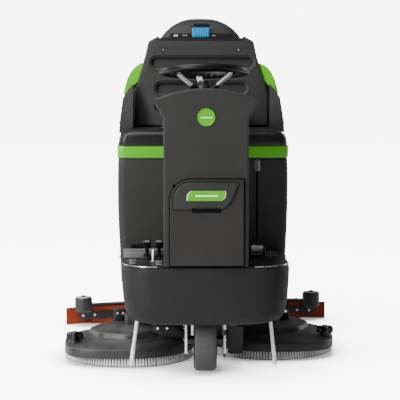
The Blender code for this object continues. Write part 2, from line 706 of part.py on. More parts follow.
def deck_knob(side):
    """A four-lobed knob that clamps the splash skirt."""
    place = KNOB_PLACES[side]
    lobes = [(0.021 + 0.008 * math.cos(4 * a), a) for a in [2 * math.pi * i / 24 for i in range(24)]]
    outline = [(place.x + r * math.cos(a), place.y + r * math.sin(a)) for r, a in lobes]
    return plate("deck_knob_" + side, outline, KNOB_LOW, KNOB_LOW + 0.030, BLACK)


def brush(side):
    """A disc brush: its block, splayed bristles and drive boss."""
    centre = BRUSH_CENTRES[side]
    profile = [(0, 0.110), (0.026, 0.110), (0.026, 0.072), (0.245, 0.072), (0.245, BRISTLE_TOP),
               (BRUSH_RADIUS, 0.0015), (0.180, 0.0015), (0.165, 0.052), (0, 0.052)]
    return turned("brush_" + side, profile, BRISTLE, centre, steps=28)


def solution_tube(side):
    s = mirrored(side)
    top = Vector((s * 0.262, -0.575, 0.215))
    low = Vector((s * 0.288, -0.600, 0.022)) if side == "left" else Vector((s * 0.276, -0.595, 0.022))
    middle = top.lerp(low, 0.78)
    upper = rod("upper", top, middle.lerp(low, 0.1), 0.0055, sides=12)
    lower = rod("nozzle", middle, low, 0.0075, sides=12)
    return united("solution_tube_" + side, [upper, lower], BARE)


# Squeegee, modelled square and then turned about its swing pivot
def bowed(x, y_offset):
    return SQUEEGEE_MIDDLE_Y + y_offset - SQUEEGEE_BOW * x * x


def bowed_strip(name, half, front, back, low, high, look):
    """A strip that follows the squeegee's curve, with its points at the same stations as the others'."""
    step = SQUEEGEE_HALF / 7
    xs = [-half] + [i * step for i in range(-7, 8) if abs(i * step) < half - 0.01] + [half]
    outline = [(x, bowed(x, front)) for x in xs] + [(x, bowed(x, back)) for x in reversed(xs)]
    return plate(name, outline, low, high, look)


def squeegee():
    channel = bowed_strip("channel", 0.545, -0.008, 0.046, 0.0805, FLANGE_TOP, STEEL)
    web = bowed_strip("web", 0.545, -0.008, 0.008, 0.030, 0.0875, STEEL)
    pivot_arm = box("pivot_arm", (-0.042, SWING_PIVOT.y - 0.03, 0.0860), (0.042, NOZZLE_Y - 0.008, 0.100))
    boss = rod("boss", (*SWING_PIVOT.xy, 0.0875), SWING_PIVOT, 0.024, sides=16)
    tabs = [box("tab", (s * ROLLER_X - 0.028, bowed(ROLLER_X, ROLLER_FORWARD - 0.022), 0.0600),
                (s * ROLLER_X + 0.028, bowed(ROLLER_X, 0.0), ROLLER_BASE - 0.0005)) for s in (-1, 1)]
    pieces = [channel, web, pivot_arm, boss] + tabs
    frame = united("squeegee_channel", pieces, STEEL)
    port = rod("suction_port", (0, NOZZLE_Y, 0.0), (0, NOZZLE_Y, 0.20), 0.018, sides=16, cutter=True)
    boolean(frame, port)
    seat = rod("nozzle_seat", (0, NOZZLE_Y, FLANGE_TOP), (0, NOZZLE_Y, 0.20), 0.0245, sides=20, cutter=True)
    boolean(frame, seat)
    front = bowed_strip("blade_front", 0.490, -0.0125, -0.0085, 0.0015, 0.0790, GUM)
    rear = bowed_strip("blade_rear", SQUEEGEE_HALF, 0.0085, 0.0125, 0.0015, 0.0790, GUM)
    ring = [(0.0235, 0.072), (0.0235, 0.0), (0.018, 0.0), (0.018, 0.072)]
    place = (0, NOZZLE_Y, FLANGE_TOP + 0.0005)
    nozzle = turned("suction_nozzle", ring, BLACK, place, closed=True, steps=20)
    return frame, front, rear, nozzle


def squeegee_roller(side):
    x = mirrored(side) * ROLLER_X
    y = bowed(ROLLER_X, ROLLER_FORWARD)
    profile = [(0, 0.078), (0.010, 0.078), (0.010, 0.066), (0.036, 0.066), (0.0395, 0.062), (0.0395, 0.004),
               (0.036, 0.0), (0, 0.0)]
    return turned("roller_" + side, profile, BLACK, (x, y, ROLLER_BASE), steps=16)


def squeegee_arm():
    """Two arms on the lift hinge, joined by a plate over the swing pivot."""
    end = SWING_PIVOT.y + 0.035
    pieces = [box("arm", (x - 0.005, LIFT_PIVOT.y - 0.012, 0.157), (x + 0.005, end - 0.01, 0.181))
              for x in (-0.032, 0.032)]
    pieces.append(box("arm_plate", (-0.037, 0.375, SWING_PIVOT.z + 0.001), (0.037, end, 0.1660)))
    pieces.append(rod("lift_pin", (-0.060, *LIFT_PIVOT.yz), (0.060, *LIFT_PIVOT.yz), 0.0080, sides=16))
    return united("squeegee_arm", pieces, STEEL)


# Controls
def steering_wheel():
    frame = tilted()
    ring = [(WHEEL_RADIUS + RIM_RADIUS * math.cos(a), -RIM_RADIUS * math.sin(a))
            for a in [2 * math.pi * i / 8 for i in range(8)]]
    turn = (-WHEEL_TILT, 0, 0)
    rim = turned("steering_rim", ring, BLACK, WHEEL_CENTRE, steps=28, closed=True, turn=turn)
    low, high = Vector((0, 0, -HUB_DROP - 0.016)), Vector((0, 0, -HUB_DROP + 0.020))
    hub = rod("hub", frame @ low, frame @ high, 0.040, sides=20)
    arms = []
    for angle in (-46, 226, 90):
        out = Vector((math.cos(math.radians(angle)), math.sin(math.radians(angle)), 0))
        flat = [0.030, 0.060, 0.124, WHEEL_RADIUS - RIM_RADIUS - 0.0045]
        rise = [-HUB_DROP, -HUB_DROP + 0.006, -0.014, -0.004]
        path = [frame @ (out * r + Vector((0, 0, z))) for r, z in zip(flat, rise)]
        arms.append(tube("spoke", path, 0.0095, BARE, 1))
    spokes = united("steering_spokes", [hub] + arms, BARE)
    shaft_top, shaft_foot = low - Vector((0, 0, 0.0005)), Vector((0, 0, -0.728))
    shaft = rod("steering_shaft", frame @ shaft_top, frame @ shaft_foot, 0.0125, BARE, sides=14)
    return rim, spokes, shaft


def pedal(name):
    """A sprung treadle on a short lever."""
    x = PEDAL_PLACES[name]
    heel, toe = PEDAL_HINGE.y + 0.008, PEDAL_HINGE.y - 0.006
    outline = [(toe, 0.4395), (heel, 0.4395), (heel, 0.455), (-0.532, 0.512), (-0.545, 0.508),
               (-0.541, 0.496)]
    return bevelled(plate(name, outline, x - 0.0155, x + 0.0155, BLACK, facing="X"), 0.0015, 1)


def lift_lever():
    x, y = LEVER_HINGE.xy
    pieces = [rod("stem", (x, y, 0.458), (x, y, 0.700), 0.006, sides=12),
              rod("grip", (x, y, 0.690), (x, y, 0.822), 0.011, sides=12),
              rod("lever_boss", (x - 0.022, y, 0.462), (x + 0.022, y, 0.462), 0.020, sides=16)]
    return united("lift_lever", pieces, BLACK)


def emergency_stop():
    profile = [(0, 0.022), (0.014, 0.022), (0.020, 0.017), (0.020, 0.010), (0.010, 0.007), (0.010, -0.012),
               (0, -0.012)]
    return turned("emergency_stop", profile, RED, STOP_PLACE, steps=20)


def key_switch():
    barrel = rod("key_barrel", KEY_PLACE, KEY_PLACE + Vector((0, 0, 0.010)), 0.010, sides=16)
    bow_low, bow_high = Vector((-0.0015, -0.010, 0.006)), Vector((0.0015, 0.010, 0.024))
    bow = box("key_bow", KEY_PLACE + bow_low, KEY_PLACE + bow_high)
    return united("key_switch", [barrel, bow], BARE)


def build():
    chassis()
    rear_axle()
    steering_head()
    nose_bumper()
    footwell_floor()
    column_shroud()
    storage_bin()
    dashboard()
    battery_box()
    green_belt()
    batteries()
    vacuum_motor()
    controller_box()
    solution_tank()
    recovery_tank()
    backrest_panel()
    for side in ("left", "right"):
        shoulder_cover(side)
        solution_tube(side)

    steering = pivot("steering_axis", DRIVE, [steering_fork(), drive_motor()])
    pivot("drive_wheel_axis", DRIVE, front_wheel(), steering)
    pivot("steering_wheel_axis", WHEEL_CENTRE, steering_wheel())
    for side in ("left", "right"):
        rear = Vector((mirrored(side) * REAR_TRACK_HALF, *REAR_AXLE.yz))
        pivot("rear_wheel_axis_" + side, rear, rear_wheel(side))
        deck = pivot("deck_lift_" + side, BRUSH_CENTRES[side],
                     [brush_deck(side), brush_motor(side), deck_knob(side)])
        pivot("brush_axis_" + side, BRUSH_CENTRES[side], [brush(side)], deck)

    lift = pivot("squeegee_lift_axis", LIFT_PIVOT, [squeegee_arm()])
    swing = pivot("squeegee_swing_axis", SWING_PIVOT, squeegee(), lift)
    for side in ("left", "right"):
        roller = squeegee_roller(side)
        pivot("roller_axis_" + side, roller.location, [roller], swing)
    swing.rotation_euler.z = SQUEEGEE_YAW

    pivot("storage_door_hinge", DOOR_HINGE, [storage_door(), door_handle()])
    for name in PEDAL_PLACES:
        pivot(name + "_hinge", PEDAL_HINGE + Vector((PEDAL_PLACES[name], 0, 0)), [pedal(name)])
    pivot("lift_lever_hinge", LEVER_HINGE, [lift_lever()])
    pivot("emergency_stop_axis", STOP_PLACE, [emergency_stop()])
    pivot("key_axis", KEY_PLACE, [key_switch()])
    pivot("seat_hinge", SEAT_HINGE, [seat_deck(), seat_cushion(), side_wing("left"), side_wing("right")])
    lid = pivot("lid_hinge", LID_HINGE, [tank_lid()])
    pivot("catch_hinge", CATCH_HINGE, [lid_catch()], lid)


build()
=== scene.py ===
"""Looks for the ride-on floor scrubber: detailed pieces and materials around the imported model.

Metres, +Z up, the front faces -Y. Left and right are -X and +X. Tables in mm() are in millimetres.
"""

from math import atan, atan2, copysign, cos, exp, pi, radians, sin

import bmesh
import bpy
from mathutils import Matrix, Vector, noise


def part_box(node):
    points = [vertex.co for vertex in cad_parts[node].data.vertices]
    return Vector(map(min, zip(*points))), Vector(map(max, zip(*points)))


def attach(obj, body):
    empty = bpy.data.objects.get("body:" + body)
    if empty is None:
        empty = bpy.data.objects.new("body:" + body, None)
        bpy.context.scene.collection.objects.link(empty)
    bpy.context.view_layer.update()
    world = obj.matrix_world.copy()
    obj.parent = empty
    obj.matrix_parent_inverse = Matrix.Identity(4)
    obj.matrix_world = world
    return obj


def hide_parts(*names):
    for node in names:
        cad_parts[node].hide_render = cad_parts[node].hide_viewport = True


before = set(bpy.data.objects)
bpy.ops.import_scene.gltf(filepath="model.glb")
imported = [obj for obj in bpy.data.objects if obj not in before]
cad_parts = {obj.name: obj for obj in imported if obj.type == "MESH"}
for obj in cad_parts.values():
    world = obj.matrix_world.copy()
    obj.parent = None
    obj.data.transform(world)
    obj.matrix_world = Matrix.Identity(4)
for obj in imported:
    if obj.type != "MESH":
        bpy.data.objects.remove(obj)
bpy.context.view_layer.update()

SIDES = {"left": -1, "right": 1}

# Heights and depths shared with the model
FLOOR_TOP = 0.434
BOX_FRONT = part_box("battery_box")[0].y
BOX_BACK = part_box("battery_box")[1].y
TANK_FRONT = 0.125
TANK_LEAN = 0.18
LEAN_START = 0.93
PANEL_FRONT = 0.1025
SCREW_X, SCREW_Z = 0.163, 1.258
STOP_PLACE, KEY_PLACE = (0.105, -0.43), (-0.105, -0.43)
DRIVE_Y, DRIVE_RADIUS = -0.55, 0.122
REAR_X, REAR_Y, REAR_RADIUS = 0.272, 0.33, 0.14
TANK_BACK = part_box("solution_tank")[1].y
COLUMN_HALF = 0.162
WHEEL_CENTRE = Vector((0, -0.41, 1.175))
WHEEL_TILT = radians(6.0)
WHEEL_RADIUS = 0.1645
RIM_RADIUS = 0.0165
HUB_DROP = 0.072
SQUEEGEE_PIVOT, SQUEEGEE_YAW = Vector((0, 0.45, 0)), radians(7)


def mm(*points):
    """Points given in millimetres."""
    return [tuple(value / 1000 for value in point) for point in points]


# Half-width of the outer skin above the seat box, and of the backrest, at each height
SKIN = mm((800, 343), (870, 352), (930, 354), (1000, 348), (1060, 338), (1100, 330), (1130, 321),
    (1160, 307), (1180, 292), (1195, 272), (1200, 258), (1250, 240), (1310, 226))
PANEL = mm((932, 288), (1077, 288), (1215, 245), (1300, 226))

# How a plate's outline and depth make a point, for each way it can face
FACING = {"X": lambda u, v, w: (w, u, v),
          "Y": lambda u, v, w: (u, w, v),
          "Z": lambda u, v, w: (u, v, w)}


# ---------------------------------------------------------------- mesh tools

def linked(mesh, smooth=38):
    made = bpy.data.objects.new("piece", mesh)
    bpy.context.scene.collection.objects.link(made)
    mesh.shade_smooth()
    mesh.set_sharp_from_angle(angle=radians(smooth))
    return made


def from_shape(shape, smooth=38, weld=1e-05):
    bmesh.ops.remove_doubles(shape, verts=shape.verts, dist=weld)
    bmesh.ops.recalc_face_normals(shape, faces=shape.faces)
    mesh = bpy.data.meshes.new("piece")
    shape.to_mesh(mesh)
    shape.free()
    return linked(mesh, smooth)


def lofted(rings, smooth=38, looped=False):
    """A closed skin through loops that all have the same number of points."""
    shape = bmesh.new()
    made = [[shape.verts.new(point) for point in ring] for ring in rings]
    pairs = list(zip(made, made[1:])) + ([(made[-1], made[0])] if looped else [])
    for lower, upper in pairs:
        for i in range(len(lower)):
            j = (i + 1) % len(lower)
            shape.faces.new((lower[i], lower[j], upper[j], upper[i]))
    if not looped:
        shape.faces.new(made[0])
        shape.faces.new(made[-1])
    return from_shape(shape, smooth)


def extruded(outline, low, high, facing="Y", smooth=38):
    """A flat outline with a thickness. Its points are the other two coordinates, in order."""
    place = FACING[facing]
    return lofted([[place(u, v, w) for u, v in outline] for w in (low, high)], smooth=smooth)


def turned(profile, centre, axis=(0, 0, 1), steps=48, looped=False, smooth=38, wave=None):
    """Turns (radius, height) points about an axis through centre. wave(angle, radius, height) may vary it."""
    turn = Vector(axis).to_track_quat("Z", "Y").to_matrix()
    centre = Vector(centre)
    rings = []
    for radius, height in profile:
        ring = []
        for step in range(steps):
            angle = 2 * pi * step / steps
            r = wave(angle, radius, height) if wave else max(radius, 1e-06)
            ring.append(centre + turn @ Vector((r * cos(angle), r * sin(angle), height)))
        rings.append(ring)
    return lofted(rings, smooth=smooth, looped=looped)


def smooth_path(points, per=6):
    """A Catmull-Rom curve through the points."""
    points = [Vector(p) for p in points]
    ends = [2 * points[0] - points[1]] + points + [2 * points[-1] - points[-2]]
    path = []
    for a, b, c, d in zip(ends, ends[1:], ends[2:], ends[3:]):
        for step in range(per):
            t = step / per
            path.append(0.5 * (2 * b + (c - a) * t + (2 * a - 5 * b + 4 * c - d) * t ** 2
                + (3 * b - a - 3 * c + d) * t ** 3))
    return path + [points[-1]]


def swept(path, radius, sides=10, looped=False, flat=1.0):
    """A tube along a path. radius may be a function of the share of its length."""
    path = [Vector(p) for p in path]
    rings = []
    last = None
    count = len(path)
    for i, point in enumerate(path):
        before = path[i - 1] if i or looped else path[0]
        after = path[(i + 1) % count] if i < count - 1 or looped else path[-1]
        along = (after - before).normalized()
        side = last - along * last.dot(along) if last else along.orthogonal()
        last = side.normalized()
        up = along.cross(last)
        r = radius(i / (count - 1)) if callable(radius) else radius
        rings.append([point + (last * cos(a) + up * sin(a) * flat) * r for a in around(sides)])
    return lofted(rings, looped=looped)


def block(low, high, width=0.0, segments=3):
    """A box with rounded edges."""
    low, high = Vector(low), Vector(high)
    shape = bmesh.new()
    bmesh.ops.create_cube(shape, size=1)
    bmesh.ops.transform(shape, verts=shape.verts, matrix=Matrix.Translation((low + high) / 2)
        @ Matrix.Diagonal((*high - low, 1)))
    made = from_shape(shape)
    return softened(made, width, segments) if width else made


def rod(start, end, radius, sides=20):
    start, end = Vector(start), Vector(end)
    return turned([(radius, 0), (radius, (end - start).length)], start, end - start, sides)


def softened(target, width, segments=3, angle=30):
    """Rounds the edges that are sharper than the angle, in degrees."""
    rounding = target.modifiers.new("rounding", "BEVEL")
    rounding.width = width
    rounding.segments = segments
    rounding.limit_method = "ANGLE"
    rounding.angle_limit = radians(angle)
    rounding.harden_normals = True
    return target


def baked(target):
    """The object with its modifiers applied."""
    graph = bpy.context.evaluated_depsgraph_get()
    mesh = bpy.data.meshes.new_from_object(target.evaluated_get(graph))
    target.modifiers.clear()
    target.data = mesh
    return target


def cut(target, *cutters):
    """Takes the cutters out of the piece, and removes them."""
    for cutter in cutters:
        change = target.modifiers.new("cut", "BOOLEAN")
        change.operation = "DIFFERENCE"
        change.solver = "EXACT"
        change.object = cutter
    bpy.context.view_layer.update()
    baked(target)
    for cutter in cutters:
        bpy.data.objects.remove(cutter)
    target.data.shade_smooth()
    target.data.set_sharp_from_angle(angle=radians(38))
    return target


def joined(pieces):
    """One object from several, with their modifiers applied."""
    shape = bmesh.new()
    bpy.context.view_layer.update()
    graph = bpy.context.evaluated_depsgraph_get()
    for piece in pieces:
        evaluated = piece.evaluated_get(graph)
        mesh = evaluated.to_mesh()
        mesh.transform(piece.matrix_world)
        shape.from_mesh(mesh)
        evaluated.to_mesh_clear()
    for piece in pieces:
        bpy.data.objects.remove(piece)
    mesh = bpy.data.meshes.new("piece")
    shape.to_mesh(mesh)
    shape.free()
    return linked(mesh, 35)


def moved(target, matrix):
    target.data.transform(matrix)
    return target


def around(count):
    """Angles evenly round a circle."""
    return [2 * pi * k / count for k in range(count)]


def plan(half, front, back, z, front_round=0.1, back_round=0.04, bow=0.0, arc=10):
    """A level loop: a rectangle with rounded corners, whose front edge bows forward."""
    loop = []
    corners = [(-half, back, back_round, 90), (-half, front, front_round, 180),
        (half, front, front_round, 270), (half, back, back_round, 0)]
    for x, y, radius, start in corners:
        centre = (x - copysign(radius, x), y + (radius if y == front else -radius))
        for step in range(arc + 1):
            angle = radians(start + 90 * step / arc)
            loop.append((centre[0] + radius * cos(angle), centre[1] + radius * sin(angle)))
        if x < 0 and y == front:
            width = half - front_round
            loop += [(width * (i / 8 - 1), front) for i in range(1, 16)]
    middle = (front + back) / 2
    return [(x, y - bow * max(0, 1 - (x / half) ** 2) if y < middle else y, z) for x, y in loop]


def read_off(profile, z):
    """The width that a list of (height, width) gives at a height."""
    for (low, wide), (high, narrow) in zip(profile, profile[1:]):
        if z <= high:
            return wide + (narrow - wide) * (z - low) / (high - low)
    return profile[-1][1]


def arc_points(centre, radii, start, end, count):
    """Points on an ellipse's arc, with angles in degrees."""
    return [(centre[0] + radii[0] * cos(radians(start + (end - start) * i / count)),
        centre[1] + radii[1] * sin(radians(start + (end - start) * i / count))) for i in range(count + 1)]


def dressed(name, piece, look, *nodes, body="chassis", slot=None):
    """Names a piece, or several as one, gives it its material and body, and hides the nodes it stands for.
    Its slot is not used.
    """
    if isinstance(piece, list):
        piece = joined(piece)
    piece.name = name
    piece.data.name = name
    piece.data.materials.clear()
    piece.data.materials.append(LOOKS[look])
    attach(piece, body)
    if nodes:
        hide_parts(*nodes)


def bolts(name, places, size, body="chassis", look="bare_steel"):
    """Hexagon heads on washers. Each place is a point on the surface and the way out of it."""
    made = []
    for place, out in places:
        washer = turned([(size * 0.4, 0), (size * 0.98, 0), (size * 1.05, size * 0.1),
            (size * 0.98, size * 0.2), (size * 0.3, size * 0.2)], place, out, 20)
        head = turned([(size * 0.75, size * 0.18), (size * 0.8, size * 0.26), (size * 0.8, size * 0.62),
            (size * 0.66, size * 0.74), (0, size * 0.76)], place, out, 6, smooth=20)
        made += [washer, head]
    dressed(name, made, look, body=body, slot="bare_steel")


# ---------------------------------------------------------------- materials

def surface(name, colour, rough=0.5, metal=0.0, grain=0.0, grain_size=0.0012, mottle=0.12, worn=None,
        dust=0.0, streak=None, streaks=0.0, coat=0.0, gloss=0.5, spread=0.08):
    """A procedural material. Grain is the depth of its moulded texture, mottle how much its tone varies,
    worn the colour of rubbed edges, dust the share of pale dust on upward faces, and streaks the strength
    of fine brushed lines along the axis named by streak."""
    look = bpy.data.materials.new(name)
    look.use_nodes = True
    tree = look.node_tree
    shader = tree.nodes["Principled BSDF"]
    shader.inputs["Metallic"].default_value = metal
    shader.inputs["Specular IOR Level"].default_value = gloss
    shader.inputs["Coat Weight"].default_value = coat
    shader.inputs["Coat Roughness"].default_value = 0.12

    def node(kind, **values):
        made = tree.nodes.new(kind)
        for key, value in values.items():
            if hasattr(made, key):
                setattr(made, key, value)
            else:
                made.inputs[key.replace("_", " ").capitalize()].default_value = value
        return made

    def link(start, end):
        tree.links.new(start, end)

    place = node("ShaderNodeTexCoord").outputs["Object"]

    def clouds(scale, detail=3.0, stretch=None):
        made = node("ShaderNodeTexNoise", Scale=scale, Detail=detail)
        if stretch:
            mapping = node("ShaderNodeMapping")
            mapping.inputs["Scale"].default_value = stretch
            link(place, mapping.inputs["Vector"])
            link(mapping.outputs["Vector"], made.inputs["Vector"])
        else:
            link(place, made.inputs["Vector"])
        return made.outputs["Fac"]

    def ramp(value, low, high, out_low=0.0, out_high=1.0):
        made = node("ShaderNodeMapRange")
        made.inputs["From Min"].default_value = low
        made.inputs["From Max"].default_value = high
        made.inputs["To Min"].default_value = out_low
        made.inputs["To Max"].default_value = out_high
        link(value, made.inputs["Value"])
        return made.outputs["Result"]

    def times(first, second):
        made = node("ShaderNodeMath", operation="MULTIPLY")
        link(first, made.inputs[0])
        if isinstance(second, float):
            made.inputs[1].default_value = second
        else:
            link(second, made.inputs[1])
        return made.outputs[0]

    def mixed(share, first, second):
        made = node("ShaderNodeMix", data_type="RGBA")
        link(share, made.inputs["Factor"])
        for socket, value in zip((made.inputs[6], made.inputs[7]), (first, second)):
            if isinstance(value, tuple):
                socket.default_value = (*value, 1)
            else:
                link(value, socket)
        return made.outputs[2]

    darker = tuple((c * (1 - mottle) for c in colour))
    lighter = tuple((min(1, c * (1 + mottle)) for c in colour))
    tone = mixed(ramp(clouds(5.0, 5.0), 0.35, 0.65), darker, lighter)
    fine = mixed(ramp(clouds(160.0, 2.0), 0.4, 0.6, 0, 0.5), tone, tuple((c * (1 + mottle * 1.5)
        for c in colour)))
    rubbed = ramp(clouds(26.0, 4.0), 0.3, 0.7, rough - spread, rough + spread)
    geometry = node("ShaderNodeNewGeometry")
    heights = []
    if streaks:
        lines = clouds(40.0, 3.0, {"X": (1, 14, 14), "Y": (14, 1, 14), "Z": (14, 14, 1)}[streak])
        fine = mixed(ramp(lines, 0.35, 0.65, 0, streaks), fine, tuple((min(1, c * 1.7 + 0.02)
            for c in colour)))
        heights.append((lines, 0.00012))
    if worn:
        edge = times(ramp(geometry.outputs["Pointiness"], 0.57, 0.72), ramp(clouds(55.0, 4.0), 0.4, 0.62))
        fine = mixed(edge, fine, worn)
    if dust:
        separate = node("ShaderNodeSeparateXYZ")
        link(geometry.outputs["Normal"], separate.inputs[0])
        settled = times(ramp(separate.outputs["Z"], 0.35, 1.0), ramp(clouds(11.0, 6.0), 0.36, 0.7))
        settled = times(settled, dust)
        fine = mixed(settled, fine, (0.3, 0.29, 0.27))
        extra = node("ShaderNodeMath", operation="ADD")
        link(rubbed, extra.inputs[0])
        link(settled, extra.inputs[1])
        rubbed = extra.outputs[0]
    link(fine, shader.inputs["Base Color"])
    link(rubbed, shader.inputs["Roughness"])
    if grain:
        heights.append((clouds(1 / grain_size, 2.0), grain))
    heights.append((clouds(14.0, 2.0), 0.0006))
    last = None
    for height, depth in heights:
        bump = node("ShaderNodeBump")
        bump.inputs["Distance"].default_value = depth
        bump.inputs["Strength"].default_value = 1.0
        link(height, bump.inputs["Height"])
        if last:
            link(last, bump.inputs["Normal"])
        last = bump.outputs["Normal"]
    link(last, shader.inputs["Normal"])
    return look


def make_looks():
    """One material for each slot of the record, and a few more for small parts."""
    return {
        # Near-black: the colour of real seams, and also painted shade where it lines the finger slot and
        # rings the bristle tips.
        "seam_and_shade": surface("black_seam_and_shade", (0.0012, 0.0012, 0.0013), 0.7, mottle=0.2, grain=0.0001, gloss=0.06),
        "nose": surface("nose_grey_plastic", (0.0125, 0.0124, 0.0122), 0.6, grain=0.00022, dust=0.02,
            worn=(0.02, 0.02, 0.02), mottle=0.08, gloss=0.09),
        "rim": surface("wheel_rim_rubber", (0.003, 0.003, 0.0032), 0.4, grain=0.00012, mottle=0.15,
            gloss=0.15),
        "dark_steel": surface("dark_steel", (0.06, 0.06, 0.06), 0.42, metal=1.0, mottle=0.2, streak="Z",
            streaks=0.3, spread=0.1),
        "door": surface("door_grey_plastic", (0.015, 0.0143, 0.0134), 0.5, grain=0.0002, dust=0.02,
            worn=(0.03, 0.029, 0.028), mottle=0.1, gloss=0.16),
        "deck": surface("deck_black_plastic", (0.015, 0.015, 0.015), 0.46, grain=0.00018, dust=0.13,
            worn=(0.035, 0.035, 0.035), mottle=0.12, gloss=0.34),
        # A dark copy of the bristle material: painted shade for the inner rings under the brush block.
        "bristle_painted_shade": surface("bristle_painted_shade", (0.04, 0.04, 0.039), 0.6, mottle=0.3, streak="Z",
            streaks=0.4),
        "body_plastic": surface("textured_grey_plastic", (0.019, 0.0187, 0.0182), 0.58, grain=0.00022,
            dust=0.02, worn=(0.028, 0.028, 0.027), mottle=0.08, gloss=0.13),
        "black_plastic": surface("black_plastic", (0.0036, 0.0036, 0.0038), 0.38, grain=0.00016, dust=0.02,
            worn=(0.016, 0.016, 0.016), gloss=0.26),
        "green_plastic": surface("green_plastic", (0.052, 0.285, 0.0015), 0.4, grain=8e-05, mottle=0.05,
            dust=0.02, worn=(0.1, 0.36, 0.02), gloss=0.25),
        "blue_plastic": surface("blue_plastic", (0.0002, 0.19, 0.43), 0.36, grain=6e-05, mottle=0.06,
            gloss=0.1),
        "red_plastic": surface("red_plastic", (0.34, 0.008, 0.006), 0.32, grain=6e-05, mottle=0.06,
            gloss=0.4),
        "painted_steel": surface("painted_steel", (0.0065, 0.0065, 0.007), 0.36, grain=0.00012,
            grain_size=0.003, worn=(0.06, 0.06, 0.06), dust=0.03, gloss=0.3),
        "bare_steel": surface("bare_steel", (0.56, 0.56, 0.55), 0.3, metal=1.0, mottle=0.1, streak="Z",
            streaks=0.35, spread=0.1),
        "tyre_rubber": surface("tyre_rubber", (0.026, 0.0255, 0.025), 0.66, grain=0.0003, grain_size=0.002,
            streak="Z", streaks=0.55, dust=0.05, worn=(0.05, 0.05, 0.048), gloss=0.3),
        "grey_polyurethane": surface("grey_polyurethane", (0.07, 0.07, 0.068), 0.5, grain=0.00016,
            dust=0.06, worn=(0.14, 0.14, 0.135), gloss=0.35),
        "bristle": surface("bristle", (0.46, 0.46, 0.45), 0.5, mottle=0.3, streak="Z", streaks=0.4),
        "gum_rubber": surface("gum_rubber", (0.15, 0.0145, 0.0022), 0.5, grain=0.00014, mottle=0.16,
            streak="X", streaks=0.22, dust=0.02, worn=(0.22, 0.03, 0.008), gloss=0.16),
        "seat_vinyl": surface("seat_vinyl", (0.0065, 0.0065, 0.0068), 0.42, grain=0.00035,
            grain_size=0.0022, dust=0.03, worn=(0.03, 0.03, 0.03), gloss=0.4),
        "gloss": surface("gloss_strip", (0.006, 0.006, 0.007), 0.12, mottle=0.05, coat=0.6, spread=0.04),
        "white": surface("white_print", (0.78, 0.78, 0.76), 0.45, mottle=0.05, grain=5e-05),
        "grey_trim": surface("grey_trim", (0.085, 0.085, 0.083), 0.42, grain=0.0001, mottle=0.1, dust=0.04,
            worn=(0.2, 0.2, 0.2), gloss=0.4),
        "spoke_metal": surface("spoke_metal", (0.4, 0.4, 0.4), 0.45, metal=0.12, mottle=0.1, streak="X",
            streaks=0.25),
        "rod_white": surface("pale_rod", (0.62, 0.62, 0.61), 0.36, mottle=0.08, streak="Z", streaks=0.25),
    }


LOOKS = make_looks()


def keep(name, look=None):
    """Gives a CAD node that is shown as it is a detailed material."""
    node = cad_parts[name]
    for place in node.material_slots:
        place.material = LOOKS[look or place.material.name]


def offset(points, distance):
    """A flat outline moved inward by a distance. Its points run anticlockwise."""
    made = []
    for i, point in enumerate(points):
        before, here, after = Vector(points[i - 1]), Vector(point), Vector(points[(i + 1) % len(points)])
        first, second = (here - before).normalized(), (after - here).normalized()
        inward = Vector((-first.y - second.y, first.x + second.x))
        if inward.length < 1e-06:
            inward = Vector((-first.y, first.x)) * 2
        made.append(tuple(here + inward.normalized() * distance / max(0.4, inward.length / 2)))
    return made


def pillowed(outline, front, back, edge, facing="Y", steps=5):
    """A plate whose front edge is rounded. Its outline runs anticlockwise seen from the front; front is the
    outer face's place along facing."""
    out = copysign(1, front - back)
    rings = [[(u, v, back) for u, v in outline]]
    for step in range(steps + 1):
        angle = radians(90 * step / steps)
        inner = offset(outline, edge * (1 - cos(angle)))
        rings.append([(u, v, front - out * edge * (1 - sin(angle))) for u, v in inner])
    return lofted([[FACING[facing](*point) for point in ring] for ring in rings])


def pill(left, right, low, high, steps=8):
    """An outline with round ends."""
    r = (high - low) / 2
    middle = (low + high) / 2
    return (arc_points((right - r, middle), (r, r), -90, 90, steps) + arc_points((left + r, middle), (r, r),
        90, 270, steps))


def rounded(left, right, low, high, radii, steps=6):
    """A rectangle outline, anticlockwise from its lower right corner, with a radius for each corner."""
    corners = [(right, low, -90), (right, high, 0), (left, high, 90), (left, low, 180)]
    outline = []
    for (x, z, start), r in zip(corners, radii):
        r = max(r, 0.0001)
        centre = (x - r if x == right else x + r, z - r if z == high else z + r)
        outline += arc_points(centre, (r, r), start, start + 90, steps)
    return outline


# ---------------------------------------------------------------- steering column and dashboard

EAR_HALF = 0.198

# Height where the column starts to flare out
FLARE_Z = 0.98
ARCH_TOP = 1.114
CASE_FRONT = -0.7165


def casing_outline(low, inset=0.0, drop=0.0):
    """The column seen from the front: straight sides, ears that flare out, and an arched top."""
    half = COLUMN_HALF - inset
    sides = [low + inset] + [low + (FLARE_Z - low) * t for t in (0.25, 0.5, 0.75)] + [FLARE_Z]
    flare = [(COLUMN_HALF + (EAR_HALF - COLUMN_HALF) * t ** 1.15, 1.0 + 0.064 * t)
        for t in (0.0, 0.12, 0.28, 0.46, 0.64, 0.82, 0.97)]
    flare = [(x - inset, z - drop * (z - FLARE_Z) / 0.13) for x, z in flare]
    tip = arc_points((EAR_HALF - 0.0035, 1.0695 - drop), (0.004 - inset * 0.3, 0.0036), -20, 80, 5)
    arch = [(x, ARCH_TOP - 0.038 * (abs(x) / 0.186) ** 2.0 - inset - drop)
        for x in [0.184 - 0.368 * i / 24 for i in range(25)]]
    right = [(half, z) for z in sides] + flare + tip
    left = [(-x, z) for x, z in reversed(right)]
    return right + arch + left


def pocket(margin=0.0):
    """The room behind the storage door."""
    return block((-0.1275, -0.76, 0.4525 + margin), (0.1315, -0.606, 0.7525 - margin))


